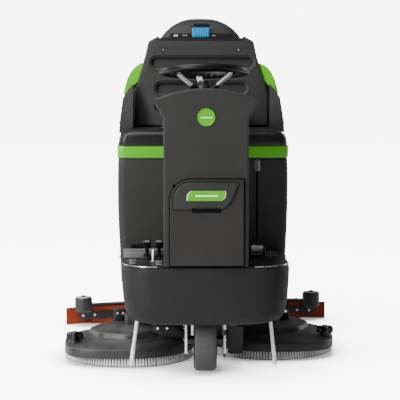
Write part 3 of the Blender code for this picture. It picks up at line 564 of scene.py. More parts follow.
def casing():
    """Column and dashboard in one smooth casing, with a pocket and a way for the shaft."""
    rings = []
    edge = 0.0065
    fronts = [(CASE_FRONT + edge * (1 - sin(radians(a))), edge * (1 - cos(radians(a))), 0)
        for a in (90, 67, 45, 22, 0)]
    fronts.insert(0, (CASE_FRONT, edge + 0.002, 0))
    deeper = mm((-660, 0, 0), (-600, 0, 1), (-540, 0, 8), (-490, 0, 16), (-470, 0, 20), (-452, 0, 26),
        (-430, 0, 33), (-410, 0, 40), (-400, 2, 43), (-393, 5, 46), (-388, 12, 50))
    for y, inset, drop in fronts + deeper:
        low = FLOOR_TOP if y < -0.452 else FLOOR_TOP + (1.0 - FLOOR_TOP) * (y + 0.452) / 0.052
        low = min(low, 0.995)
        outline = casing_outline(FLOOR_TOP, inset, drop)
        ring = []
        for x, z in outline:
            ring.append((x, y - (0.0045 if y < -0.62 else 0), max(z, low + inset)))
        rings.append(ring)
    shell = lofted(rings)
    tilt = Matrix.Translation(WHEEL_CENTRE) @ Matrix.Rotation(-WHEEL_TILT, 4, "X")
    way = rod(tilt @ Vector((0, 0, -0.8)), tilt @ Vector((0, 0, -0.045)), 0.03)
    stop = rod((*STOP_PLACE, 1.0), (*STOP_PLACE, 1.14), 0.0122)
    room = lofted([plan(0.156, -0.6, back, z, 0.01, 0.02) for z, back in mm((420, -460), (720, -446),
        (970, -418))])
    cut(shell, pocket(), way, stop, room)
    dressed("casing", shell, "body_plastic", "column_shroud", "dashboard")


def badge():
    dressed("badge", turned(mm((30, 0), (33.5, 1.2), (33.5, 3), (32.5, 3.8), (30.5, 3.8), (29.5, 3),
        (0, 3.4)), (0.001, -0.7212, 1.006), (0, -1, 0), 56), "green_plastic")
    dressed("badge_mark", block((-0.0215, -0.7258, 1.0032), (0.0235, -0.7244, 1.0068), 0.0004, 1), "white")


def door_outline(grow=0.0):
    """The storage door: square but for one large rounded corner at its upper left."""
    left, right, low, high = -0.1375 - grow, 0.1435 + grow, 0.4405 - grow, 0.77 + grow
    return rounded(left, right, low, high, (0.004, 0.004, 0.08 + grow, 0.004), 10)


def storage_door():
    seal = pillowed(door_outline(0.0046), -0.7226, -0.716, 0.0008, steps=2)
    cut(seal, pocket(0.0005))
    dressed("door_seal", seal, "seam_and_shade")
    door = pillowed(door_outline(), -0.7318, -0.7256, 0.0026, steps=4)
    recess = pillowed(offset(leaf_outline(), -0.0045), -0.75, -0.7301, 0.0005, steps=1)
    cut(door, recess)
    dressed("door_panel", softened(door, 0.0006, 1), "door", "storage_door", body="storage_door")
    ribs = [block((x - 0.002, -0.7254, 0.47), (x + 0.002, -0.72, 0.74), 0.0008)
        for x in (-0.1, -0.034, 0.034, 0.1)]
    ribs += [block((-0.118, -0.7254, z - 0.002), (0.118, -0.72, z + 0.002), 0.0008) for z in (0.5, 0.71)]
    dressed("door_ribs", ribs, "black_plastic", body="storage_door")
    barrels = [rod((x - 0.016, -0.7265, 0.443), (x + 0.016, -0.7265, 0.443), 0.0034)
        for x in (-0.085, 0, 0.085)]
    dressed("door_barrels", barrels, "black_plastic", body="storage_door")


def leaf_outline():
    """The handle's raised leaf: its upper left follows the door's corner, and its right side sweeps down."""
    upper_left = arc_points((-0.0585, 0.691), (0.0665, 0.069), 172, 97, 9)
    sweep = []
    for i in range(13):
        t = i / 12
        sweep.append((0.058 + 0.066 * t + 0.016 * sin(pi * t) * (1 - t),
            0.657 + 0.1015 * t - 0.012 * sin(pi * t)))
    return [(-0.122, 0.657)] + sweep + upper_left[::-1]


def door_handle():
    leaf = pillowed(leaf_outline(), -0.7405, -0.7306, 0.0046, steps=6)
    slot = pillowed(pill(-0.055, 0.057, 0.6495, 0.6655), -0.748, -0.733, 0.001, steps=1)
    cut(leaf, slot)
    dressed("handle_leaf", leaf, "body_plastic", "door_handle", body="storage_door")
    # A near-black liner at the back of the finger slot: painted shade in the recess.
    dressed("slot_shade_liner", pillowed(pill(-0.056, 0.058, 0.644, 0.66), -0.7338, -0.7312, 0.001, steps=2),
        "seam_and_shade", body="storage_door")
    shape = rounded(-0.0715, 0.0725, 0.6905, 0.7285, (0.024, 0.003, 0.024, 0.003), 10)
    backing = pillowed([(x * 1.03, z) for x, z in shape], -0.7412, -0.74, 0.0004, steps=1)
    dressed("label", pillowed(shape, -0.742, -0.7408, 0.0004, steps=1), "green_plastic",
        body="storage_door")
    bar = block((-0.042, -0.7428, 0.7068), (0.0444, -0.7418, 0.7116), 0.0004, 1)
    dressed("label_marks", [backing, bar], "white", body="storage_door")


# ---------------------------------------------------------------- nose and footwell

NOSE = mm((210, 277, -690), (220, 295, -716), (246, 309, -726), (300, 320, -722), (370, 326, -712),
    (416, 328, -704), (426, 325, -700))


def nose():
    """The shell round the drive unit: outer skin, rolled lower lip and inner skin."""

    def ring(z, half, front, inset=0.0):
        return plan(half - inset, front + inset, BOX_FRONT - 0.002 - inset, z, 0.115 - inset, 0.012, 0.024,
            arc=16)

    levels = []
    for (z, half, front), (z2, half2, front2) in zip(NOSE, NOSE[1:]):
        for t in (0, 0.34, 0.67):
            levels.append((z + (z2 - z) * t, half + (half2 - half) * t, front + (front2 - front) * t))
    levels.append(NOSE[-1])
    rings = [ring(z, half, front, 0.0075) for z, half, front in reversed(levels) if z < 0.421]
    rings += [ring(0.2085, 0.2765, -0.689, 0.005), ring(0.2085, 0.2765, -0.689, 0.002)]
    rings += [ring(*level) for level in levels]
    shell = lofted(rings)
    gap = block((-0.288, BOX_FRONT - 0.042, 0.1), (0.288, BOX_FRONT + 0.01, 0.368))
    well = rod((0, DRIVE_Y, 0.4), (0, DRIVE_Y, 0.46), 0.066, sides=40)
    cut(shell, gap, well)
    dressed("nose_shell", shell, "nose", "nose_bumper")


def well_edge(z, inset):
    """The footwell's outline, from its rear left corner round the front to its rear right corner."""
    loop = plan(0.3265 - inset, -0.7005 + inset, BOX_FRONT - 0.004, z, 0.113 - inset * 0.5, 0.004, 0.024,
        arc=14)
    return [Vector(p) for p in loop if p[1] < BOX_FRONT - 0.02]


def footwell():
    outline = ([tuple(p.xy) for p in well_edge(0, 0.0)] + [(0.3265, BOX_FRONT - 0.004),
        (-0.3265, BOX_FRONT - 0.004)])
    tray = pillowed(outline, FLOOR_TOP - 0.0025, FLOOR_TOP - 0.0075, 0.002, "Z", steps=2)
    well = rod((0, DRIVE_Y, 0.4), (0, DRIVE_Y, 0.46), 0.06, sides=40)
    cut(tray, well)
    dressed("footwell_tray", tray, "black_plastic", "footwell_floor")
    edge = well_edge(FLOOR_TOP - 0.0002, 0.0035)
    # Bright steel trim along the outer rim; its light colour also paints the highlight along the footwell's
    # rim.
    lips = [swept([p for p in edge if s * p.x > 0.172], 0.0017, 8) for s in (-1, 1)]
    dressed("footwell_lip_highlight", lips, "bare_steel")
    studs = []
    for row in range(9):
        for column in range(-11, 12):
            x, y = column * 0.0255 + 0.0128 * (row % 2), BOX_FRONT - 0.028 - row * 0.024
            if abs(x) < 0.29:
                studs.append(turned(mm((7, 0), (6.2, 1.4), (0, 1.8)), (x, y, FLOOR_TOP - 0.0026), steps=10))
    dressed("footwell_studs", studs, "black_plastic")
    # A rail across the back of the footwell whose pale grey paints the highlight where light catches the
    # footwell's back.
    guard = [block((-0.3225, -0.452, 0.433), (-0.166, -0.4475, 0.466), 0.0015),
        rod((-0.3225, -0.45, 0.467), (-0.166, -0.45, 0.467), 0.0036)]
    dressed("pedal_guard_highlight", guard, "grey_trim")
    dressed("pedal_box", block((-0.292, -0.444, 0.4325), (-0.215, -0.395, 0.483), 0.003, 3), "seam_and_shade")
    dressed("pedal_rod", swept(smooth_path(mm((-204, -552, 433), (-204, -556, 455), (-204, -545, 480))),
        0.0042, 10), "rod_white")
    feet = [block((-0.215, -0.566, 0.4318), (-0.193, -0.54, 0.4352), 0.001)]
    for x, y in ((-0.283, -0.6), (-0.18, -0.64)):
        feet += [block((x - 0.013, y - 0.01, 0.4318), (x + 0.013, y + 0.01, 0.4348), 0.001),
            block((x - 0.013, y + 0.006, 0.432), (x + 0.013, y + 0.009, 0.448), 0.001)]
    dressed("footwell_brackets", feet, "grey_trim")


def pedals():
    for name, x in (("brake", -0.228), ("accelerator", -0.18)):
        body = name + "_pedal"
        arm = smooth_path([(x, -0.47, 0.448), (x, -0.484, 0.462), (x, -0.508, 0.486), (x, -0.53, 0.5035)])
        stem = swept(arm, 0.0055, 10, flat=1.5)
        hinge = rod((x - 0.015, -0.47, 0.448), (x + 0.015, -0.47, 0.448), 0.0072)
        along = Vector((0, -0.07, 0.052)).normalized()
        up = along.cross(Vector((1, 0, 0)))
        frame_of = Matrix(((1, along.x, -up.x, x), (0, along.y, -up.y, -0.517), (0, along.z, -up.z, 0.496),
            (0, 0, 0, 1)))
        pad = pillowed(rounded(-0.015, 0.015, -0.026, 0.026, (0.006,) * 4), 0.0045, -0.0035, 0.003, "Z")
        moved(pad, frame_of)
        tread = [moved(block((-0.012, v - 0.0016, 0.0035), (0.012, v + 0.0016, 0.0062), 0.0006), frame_of)
            for v in (-0.016, -0.008, 0.0, 0.008, 0.016)]
        dressed(name + "_treadle", [stem, hinge, pad] + tread, "black_plastic", body, body=body)
        tip = swept([(x - 0.0095, -0.5395, 0.5105), (x + 0.0095, -0.5395, 0.5105)], 0.0036, 10)
        dressed(name + "_tip", [tip], "grey_trim", body=body, slot="black_plastic")


# ---------------------------------------------------------------- seat box

def battery_box():
    levels = []
    for z, half in mm((300, 339), (306, 340.5), (370, 342), (434, 344.5), (520, 349), (620, 352),
            (700, 352.2), (770, 351.5), (808, 350.5), (813.5, 349.2), (815, 347)):
        inset = 0.0015 if z in (0.3, 0.8135) else 0.004 if z == 0.815 else 0
        levels.append(plan(half, BOX_FRONT + inset, BOX_BACK - inset, z, 0.03, 0.01, arc=8))
    shell = lofted(levels)
    cut(shell, block((-0.33, BOX_FRONT + 0.01, 0.372), (0.33, BOX_BACK - 0.006, 0.9)),
        block((-0.328, BOX_FRONT + 0.012, 0.2), (0.328, 0.2, 0.364)))
    for s in (-1, 1):
        low, high = sorted((s * 0.3475, s * 0.365))
        cut(shell, softened(block((low, -0.165, 0.4585), (high, 0.06, 0.461)), 0.0004, 1))
    dressed("seat_box", shell, "body_plastic", "battery_box")
    places = [((s * 0.3428, y, 0.4), (s, 0, 0)) for s in (-1, 1) for y in (-0.15, 0.05)]
    bolts("seat_box_bolts", places, 0.008)


def belt():
    levels = mm((815.6, 350, 2), (817, 352.1, 0.6), (819.5, 352.9, 0), (842, 353.7, 0), (861, 354.3, 0),
        (863.6, 353.6, 0.6), (865, 351.5, 2))
    band = lofted([plan(half, BOX_FRONT - 0.002 + inset, BOX_BACK - inset, z, 0.03, 0.01, 0.004, 8)
        for z, half, inset in levels])
    cut(band, block((-0.332, BOX_FRONT + 0.01, 0.7), (0.332, 0.094, 0.95)))
    dressed("belt_band", band, "green_plastic", "green_belt")


def deck():
    front, back = BOX_FRONT - 0.004, BOX_BACK
    levels = mm((865.6, 347.8, 1), (868, 349, 0), (884, 347.8, 0), (897, 345, 1))
    levels += [(0.897 + 0.031 * sin(radians(a)), 0.345 - 0.06 * (1 - cos(radians(a))),
        0.001 + 0.027 * (1 - cos(radians(a)))) for a in (15, 30, 45, 58, 70, 80, 90)]
    shell = lofted([plan(half, front + inset, back - inset * 0.2, z, 0.032, 0.012, 0.004, 8)
        for z, half, inset in levels])
    cut(shell, block((-0.328, front + 0.012, 0.85), (0.328, 0.09, 0.908)))
    dressed("seat_base", shell, "black_plastic", "seat_deck", body="seat")
    lid_ribs = [block((x - 0.0025, front + 0.016, 0.9), (x + 0.0025, 0.086, 0.9085), 0.0008)
        for x in (-0.24, -0.12, 0, 0.12, 0.24)]
    dressed("seat_base_ribs", lid_ribs, "black_plastic", body="seat")


SEAT_HALF, SEAT_FRONT, SEAT_BACK, SEAT_LOW, SEAT_TOP = 0.174, -0.2, 0.094, 0.9292, 1.0


def seat_ring(inset, z):
    """The cushion's outline at a height."""
    return plan(SEAT_HALF - inset, SEAT_FRONT + inset, SEAT_BACK - inset, z, 0.05, 0.04)


def swollen(rest):
    """Cloth simulation: the pad fills out, and no point moves further than the cap."""
    cap = 0.008
    remesh = rest.modifiers.new("remesh", "REMESH")
    remesh.mode = "VOXEL"
    remesh.voxel_size = 0.005
    bpy.context.view_layer.update()
    baked(rest)
    before = [v.co.copy() for v in rest.data.vertices]
    cloth = rest.modifiers.new("cloth", "CLOTH")
    cloth.settings.use_pressure = True
    cloth.settings.uniform_pressure_force = 4
    cloth.settings.effector_weights.gravity = 0
    held = rest.vertex_groups.new(name="held")
    held.add([i for i, p in enumerate(before) if p.z < SEAT_LOW + 0.012], 1.0, "REPLACE")
    cloth.settings.vertex_group_mass = "held"
    for step in range(1, 21):
        bpy.context.scene.frame_set(step)
    baked(rest)
    for vertex, start in zip(rest.data.vertices, before):
        shift = vertex.co - start
        if shift.length > cap:
            vertex.co = start + shift.normalized() * cap
    bpy.context.scene.frame_set(1)


def cushion():
    """The seat pad: swollen by simulation, then pulled in along its seams, with piping round its edge."""
    levels = [(0.0165, SEAT_LOW + 0.001), (0.01, 0.935), (0.0065, 0.945), (0.006, 0.962), (0.007, 0.976),
        (0.012, 0.986), (0.022, 0.992), (0.045, 0.995)]
    pad = lofted([seat_ring(inset, z) for inset, z in levels])
    swollen(pad)
    smoother = pad.modifiers.new("smoother", "SUBSURF")
    smoother.levels = 1
    smoother.render_levels = 1
    baked(pad)
    across = [-0.125, -0.045, 0.035]
    for vertex in pad.data.vertices:
        p = vertex.co
        inside = max(0, min(1, (0.15 - abs(p.x)) / 0.02)) * max(0, min(1, (p.z - 0.965) / 0.012))
        for y in across:
            p.z -= 0.0075 * exp(-((p.y - y) / 0.0055) ** 2) * inside
        for s in (-1, 1):
            p.z -= 0.0065 * exp(-((p.x - s * 0.118) / 0.0055) ** 2) * max(0, min(1, (p.z - 0.965) / 0.012))
        p.z -= 0.01 * exp(-(p.x / 0.075) ** 2 - ((p.y + 0.03) / 0.09) ** 2) * max(0,
            min(1, (p.z - 0.96) / 0.02))
        p.z = min(max(p.z, SEAT_LOW), SEAT_TOP)
        p.x = max(-SEAT_HALF, min(SEAT_HALF, p.x))
        p.y = max(SEAT_FRONT, min(SEAT_BACK, p.y))
    pad.data.shade_smooth()
    dressed("seat_pad", pad, "seat_vinyl", "seat_cushion", body="seat")
    piping = [swept(seat_ring(0.003, z), 0.0027, 8, looped=True) for z in (0.9375, 0.979)]
    dressed("seat_piping", piping, "seat_vinyl", body="seat")


def wing(side):
    """The guard beside the seat, with a sloping top and a rib along its foot."""
    s = SIDES[side]
    outline = [(0.1195, 0.9294), (0.1195, 1.108)]
    outline += arc_points((0.103, 1.098), (0.016, 0.019), 5, 118, 8)
    outline += mm((80, 1092), (60, 1062), (40, 1032), (22, 1002), (10, 975), (3, 952), (1, 929.4))
    outline = [(y, z) for y, z in reversed(outline)]
    shell = extruded(outline, *sorted((s * 0.2925, s * 0.3455)), facing="X")
    slope = block((-0.15, -0.05, 0), (0.15, 0.16, 0.1))
    moved(slope, Matrix.Translation((s * 0.346, 0, 1.054)) @ Matrix.Rotation(s * radians(48), 4, "Y"))
    cut(shell, slope)
    softened(shell, 0.0045, 4, 25)
    for vertex in shell.data.vertices:
        if abs(vertex.co.x) > 0.318:
            vertex.co.x += s * (0.0065 - 0.125 * max(0, vertex.co.z - 0.93))
            vertex.co.z -= 0.024 * max(0, 1 - (vertex.co.z - 0.929) / 0.01)
    dressed("wing_shell_" + side, shell, "body_plastic", "side_wing_" + side, body="seat")
    bolts("wing_bolts_" + side, [((s * 0.349, y, 0.95), (s, 0, 0)) for y in (0.03, 0.095)], 0.0055, "seat")


# ---------------------------------------------------------------- backrest, tanks and lid

def tank_front(z):
    return TANK_FRONT + TANK_LEAN * max(0, z - LEAN_START)


def panel_outline():
    """The upright seen from the front, with a small step at each upper corner."""
    half = mm((932, 286), (945, 288), (1000, 288), (1060, 288), (1077, 287), (1100, 281), (1150, 266),
        (1200, 250), (1215, 245), (1260, 236), (1285, 230.5), (1294, 227))
    top = mm((223.5, 1297.5), (218, 1300.5), (188, 1316.5), (182, 1316), (180.5, 1307), (176, 1304),
        (100, 1303.5))
    right = [(x, z) for z, x in half] + top
    return right + [(-x, z) for x, z in reversed(right)]


def backrest():

    def lean(points, y):
        return [(x, y + TANK_LEAN * max(0, z - LEAN_START), z) for x, z in points]

    outline = panel_outline()
    rings = [lean(outline, TANK_FRONT - 0.002)]
    for a in (0, 30, 60, 90):
        inner = offset(outline, 0.0065 * (1 - cos(radians(a))))
        rings.append(lean(inner, 0.109 - 0.0065 * sin(radians(a))))
    panel = lofted(rings)
    beads = []
    for z, low, high in ((1.2035, -0.224, 0.236), (1.0935, -0.204, 0.206)):
        front = PANEL_FRONT + TANK_LEAN * (z - LEAN_START)
        laid_back = (Matrix.Translation((0, front, z)) @ Matrix.Rotation(-atan(TANK_LEAN), 4, "X")
            @ Matrix.Translation((0, -front, -z)))
        rings = []
        for a in range(0, 91, 15):
            inner = offset(pill(low, high, z - 0.0325, z + 0.0325, 12), 0.015 * sin(radians(a)))
            depth = front + 0.0005 + 0.0175 * (1 - cos(radians(a))) ** 0.8
            rings.append([(x, depth, h) for x, h in inner])
        rings.insert(0, [(x, front - 0.02, h) for x, h in pill(low, high, z - 0.0325, z + 0.0325, 12)])
        groove = moved(lofted(rings), laid_back)
        cut(panel, groove)
        line = [Vector((x, front + 0.0004, h)) for x, h in pill(low - 0.002, high + 0.002, z - 0.0345,
            z + 0.0345, 14)]
        beads.append(moved(swept(line, 0.0026, 8, looped=True), laid_back))
    holes = [turned(mm((9.5, 0), (9.5, 14), (7.5, 16), (0, 16))[::-1],
        (s * SCREW_X, PANEL_FRONT + TANK_LEAN * (SCREW_Z - LEAN_START) + 0.0045, SCREW_Z),
        (0, -1, TANK_LEAN), 24) for s in (-1, 1)]
    cut(panel, *holes)
    panel = joined([panel] + beads)
    dressed("backrest_panel_shell", panel, "body_plastic", "backrest_panel")
    cups = [turned(mm((9.4, 4), (9.4, 0), (8, 0), (7.4, 3.6), (0, 3.6)),
        (s * SCREW_X, PANEL_FRONT + TANK_LEAN * (SCREW_Z - LEAN_START) + 0.004, SCREW_Z),
        (0, -1, TANK_LEAN), 24) for s in (-1, 1)]
    dressed("panel_screw_cups", cups, "black_plastic")
    bolts("panel_screws", [((s * SCREW_X, PANEL_FRONT + TANK_LEAN * (SCREW_Z - LEAN_START) + 0.003,
        SCREW_Z), (0, -1, TANK_LEAN)) for s in (-1, 1)], 0.0055)


# How far back the covers on the shoulders reach
COVER_DEPTH = 0.62


def shoulder(side):
    """A bright cover that follows the tank's shoulder, thick enough to read as moulded, with a front wall."""
    s = SIDES[side]
    low, high = 1.064, 1.2
    rings = []
    for step in range(25):
        t = step / 24
        back = COVER_DEPTH * t
        rise = 0.45 * max(0, back - 0.42)
        edge = 0.004 * max(0, 1 - t * 24) + 0.004 * max(0, t * 24 - 23)
        heights = [low + rise + (high - low - rise) * i / 14 for i in range(15)]
        outer = [(s * (read_off(SKIN, z) - edge - (0.0025 if i in (0, 14) else 0)),
            max(back, tank_front(z) - 0.01), z) for i, z in enumerate(heights)]
        inner = [(s * (read_off(SKIN, z) - 0.012), max(back, tank_front(z) - 0.01), z)
            for z in reversed(heights)]
        rings.append([Vector(p) for p in outer + inner])
    # rings that start level with the slanting front are spread out behind it
    for step, ring in enumerate(rings):
        t = step / 24
        for point in ring:
            start = tank_front(point.z) - 0.01
            point.y = start + (COVER_DEPTH - start) * t
    cover = lofted(rings)
    heights = [low + (high - low) * i / 12 for i in range(13)]
    walls = [[(s * max(read_off(PANEL, z) - 0.003, 0.334 - 1.02 * (z - low)), tank_front(z) + y, z)
        for z in heights] + [(s * (read_off(SKIN, z) - 0.003), tank_front(z) + y, z)
        for z in reversed(heights)] for y in (-0.0098, -0.001)]
    wall = lofted(walls)
    dressed("shoulder_" + side, [cover, wall], "green_plastic", "shoulder_cover_" + side)


def tank_ring(z, inset, extra=0.0, arc=12):
    back = TANK_BACK - 0.06 * max(0, z - 0.95) / 0.35
    return plan(read_off(SKIN, z) - inset - extra, tank_front(z) + extra, back - extra, z, 0.03, 0.075,
        arc=arc)


def upper_tank():
    levels = mm((800.6, 6), (803, 3), (810, 2), (850, 2), (930, 2), (1000, 2), (1045, 3), (1052, 6),
        (1060, 20), (1100, 20), (1150, 20), (1198, 20), (1205, 6), (1212, 4), (1250, 4), (1270, 6),
        (1285, 13), (1297, 26), (1304, 40), (1306, 46))
    tank = lofted([tank_ring(z, inset, 0.003 if z in (0.8006, 1.306) else 0) for z, inset in levels])
    room = mm((812, 8), (930, 8), (1060, 22), (1150, 22), (1200, 22), (1250, 12), (1270, 16), (1298, 50))
    cut(tank, lofted([tank_ring(z, inset, 0.006, 8) for z, inset in room]))
    mouth = softened(block((-0.14, 0.27, 1.25), (0.14, 0.6, 1.35)), 0.02, 3)
    bore = rod((0.12, 0.64, 0.98), (0.12, 0.8, 0.98), 0.021, sides=32)
    cut(tank, mouth, bore)
    for z in (0.866, 1.0):
        groove = lofted([tank_ring(z + d, 0.002, e, 12) for d, e in mm((-1.5, -10), (-1.5, 2.2), (1.5, 2.2),
            (1.5, -10))], looped=True)
        cut(tank, groove)
    dressed("tank_shell", tank, "body_plastic", "recovery_tank")
    dressed("spigot", turned([(0.0215, -0.012), (0.029, -0.012), (0.03, -0.002), (0.03, 0.003),
        (0.0258, 0.004), (0.0262, 0.012), (0.0252, 0.014), (0.0262, 0.02), (0.025, 0.0235),
        (0.0215, 0.0235)], (0.12, 0.72, 0.98), (0, 1, 0), 40, looped=True), "black_plastic")


def lower_tank():
    levels = mm((262, 296, 34), (264, 300, 30), (280, 316, 19), (300, 330, 10), (340, 334.5, 6),
        (400, 339.5, 2), (450, 342, 0), (600, 342.8, 0), (780, 343, 0), (796, 342, 1), (800, 339, 4))
    tank = lofted([plan(half, 0.103, TANK_BACK - inset, z, 0.012, 0.07, arc=10)
        for z, half, inset in levels])
    arch = turned([(0.16, -0.5), (0.16, 0.5)], (0, REAR_Y, REAR_RADIUS), (1, 0, 0), 72)
    room = lofted([plan(half, 0.113, TANK_BACK - 0.012, z, 0.01, 0.06, arc=6)
        for z, half in mm((314, 320), (450, 332), (790, 333))])
    cut(tank, arch, room, block((-0.226, 0.115, 0.2), (0.226, 0.728, 0.303)),
        rod((-0.2, TANK_BACK - 0.05, 0.735), (-0.2, TANK_BACK + 0.05, 0.735), 0.03, sides=40))
    for s in (-1, 1):
        low, high = sorted((s * 0.3415, s * 0.36))
        cut(tank, softened(block((low, 0.33, 0.5), (high, 0.64, 0.74)), 0.015, 3))
    low_panel = softened(block((-0.1, TANK_BACK - 0.0035, 0.45), (0.1, TANK_BACK + 0.02, 0.7)), 0.012, 3)
    cut(tank, low_panel)
    dressed("base_tank_shell", tank, "body_plastic", "solution_tank")
    arches = [swept([(s * 0.3365, REAR_Y + 0.1605 * cos(radians(a)), REAR_RADIUS + 0.1605 * sin(radians(a)))
        for a in range(52, 129, 4)], 0.0036, 8) for s in (-1, 1)]
    dressed("arch_lips", arches, "black_plastic")
    dressed("filler_cap", turned(mm((29, -22), (29, -6), (36, -6), (36.5, 0), (35, 7), (31, 9.8), (20, 9.8),
        (17, 6), (0, 6)), (-0.2, TANK_BACK, 0.735), (0, 1, 0), 72, wave=lambda a, r, h: r
        * (1 + (0.022 * cos(18 * a) if r > 0.034 else 0)) + 1e-06), "black_plastic")
    gauge = [pillowed(rounded(0.17, 0.196, 0.47, 0.69, (0.01,) * 4), TANK_BACK + 0.0032, TANK_BACK - 0.002,
        0.002)]
    dressed("level_gauge", gauge, "gloss")
    marks = [block((0.174, TANK_BACK + 0.0028, 0.485 + i * 0.024), (0.182 if i % 2 else 0.188,
        TANK_BACK + 0.0036, 0.4866 + i * 0.024)) for i in range(8)]
    dressed("gauge_marks", marks, "white", slot="black_plastic")
    vents = [block((-0.07, TANK_BACK - 0.0045, 0.48 + i * 0.022), (0.07, TANK_BACK - 0.0008,
        0.488 + i * 0.022), 0.0015) for i in range(9)]
    dressed("rear_vents", vents, "black_plastic")
    bolts("rear_panel_bolts", [((x, TANK_BACK - 0.0036, z), (0, 1, 0)) for x in (-0.088, 0.088)
        for z in (0.463, 0.687)], 0.006)


def lid():

    def ring(z, half, front, back, extra=0.0):
        corner = min(0.036, 0.8 * (half - extra))
        return plan(half - extra, front + extra, back - extra, z, corner, corner, bow=0.012, arc=12)

    levels = mm((1307.2, 175.2, 215, 654), (1310, 174.5, 214, 655), (1317, 170, 214.2, 654.8),
        (1325, 164, 216, 653.5), (1334, 156.5, 219, 651), (1343, 148, 223.2, 647), (1353, 137, 229.2, 641),
        (1363, 124, 237.2, 632), (1372, 110, 247.8, 619), (1380, 94, 262, 602), (1386, 79, 278.5, 584),
        (1390.5, 64, 299, 562), (1393.5, 50, 321, 538), (1395, 40, 340, 520))
    dome = lofted([ring(*level) for level in levels])
    room = mm((1270, 176, 214, 655), (1312, 171, 214, 655), (1340, 148, 225, 645), (1362, 120, 248, 614))
    cut(dome, lofted([ring(*level, extra=0.007) for level in room]))
    grip = softened(block((-0.039, 0.19, 1.3545), (0.039, 0.229, 1.373)), 0.004, 3)
    cut(dome, grip)
    dressed("lid_dome", dome, "body_plastic", "tank_lid", body="tank_lid")
    dressed("recess_liner", block((-0.038, 0.2262, 1.335), (0.038, 0.235, 1.3722), 0.002), "gloss",
        body="tank_lid")
    strips = []
    for s, near, far in ((-1, 0.0415, 0.133), (1, 0.0415, 0.136)):
        low_edge, high_edge = [], []
        for i in range(13):
            x = s * (near + (far - near) * i / 12)
            y = 0.214 - 0.012 * max(0, 1 - (x / 0.176) ** 2) - 0.0016
            low_edge.append((x, y, 1.31))
            high_edge.append((x, y + 0.003, 1.3285))
        front_face = low_edge + high_edge[::-1]
        back_face = [(x, y + 0.004, z) for x, y, z in front_face]
        strips.append(lofted([front_face, back_face]))
    dressed("lid_gloss_strip", strips, "gloss", body="tank_lid")
    marks = []
    for x, wide, tall in mm((-114, 3.5, 6), (-104, 3.5, 6), (-78, 1.2, 2.6), (-73, 1.6, 2.6),
            (-67, 1.2, 2.6), (-62, 1.6, 2.6), (50, 1.2, 2.6), (55, 1.6, 2.6), (61, 1.2, 2.6)):
        y = 0.214 - 0.012 * max(0, 1 - (x / 0.176) ** 2) - 0.0019
        marks.append(block((x - wide, y + 0.0008, 1.32 - tall / 2), (x + wide, y + 0.0024, 1.32 + tall / 2),
            0.0003, 1))
    dressed("lid_marks", marks, "white", body="tank_lid", slot="black_plastic")
    hinge = [rod((x - 0.022, 0.656, 1.3095), (x + 0.022, 0.656, 1.3095), 0.006) for x in (-0.1, 0, 0.1)]
    dressed("lid_hinge_barrels", hinge, "black_plastic", body="tank_lid")


def catch():
    outline = rounded(-0.0375, 0.0375, 1.3128, 1.3535, (0.003, 0.004, 0.004, 0.003))
    plate = pillowed(outline, 0.1925, 0.1988, 0.0025)
    ribs = [block((x - 0.0022, 0.1905, 1.318), (x + 0.0022, 0.1935, 1.348), 0.0012)
        for x in [-0.03 + 0.0075 * i for i in range(9)]]
    lip = swept([(-0.035, 0.1932, 1.3522), (0.035, 0.1932, 1.3522)], 0.0024, 10)
    hook = block((-0.03, 0.197, 1.346), (0.03, 0.204, 1.352), 0.0015)
    dressed("catch", [plate, lip, hook] + ribs, "blue_plastic", "lid_catch", body="lid_catch")


# ---------------------------------------------------------------- steering and controls

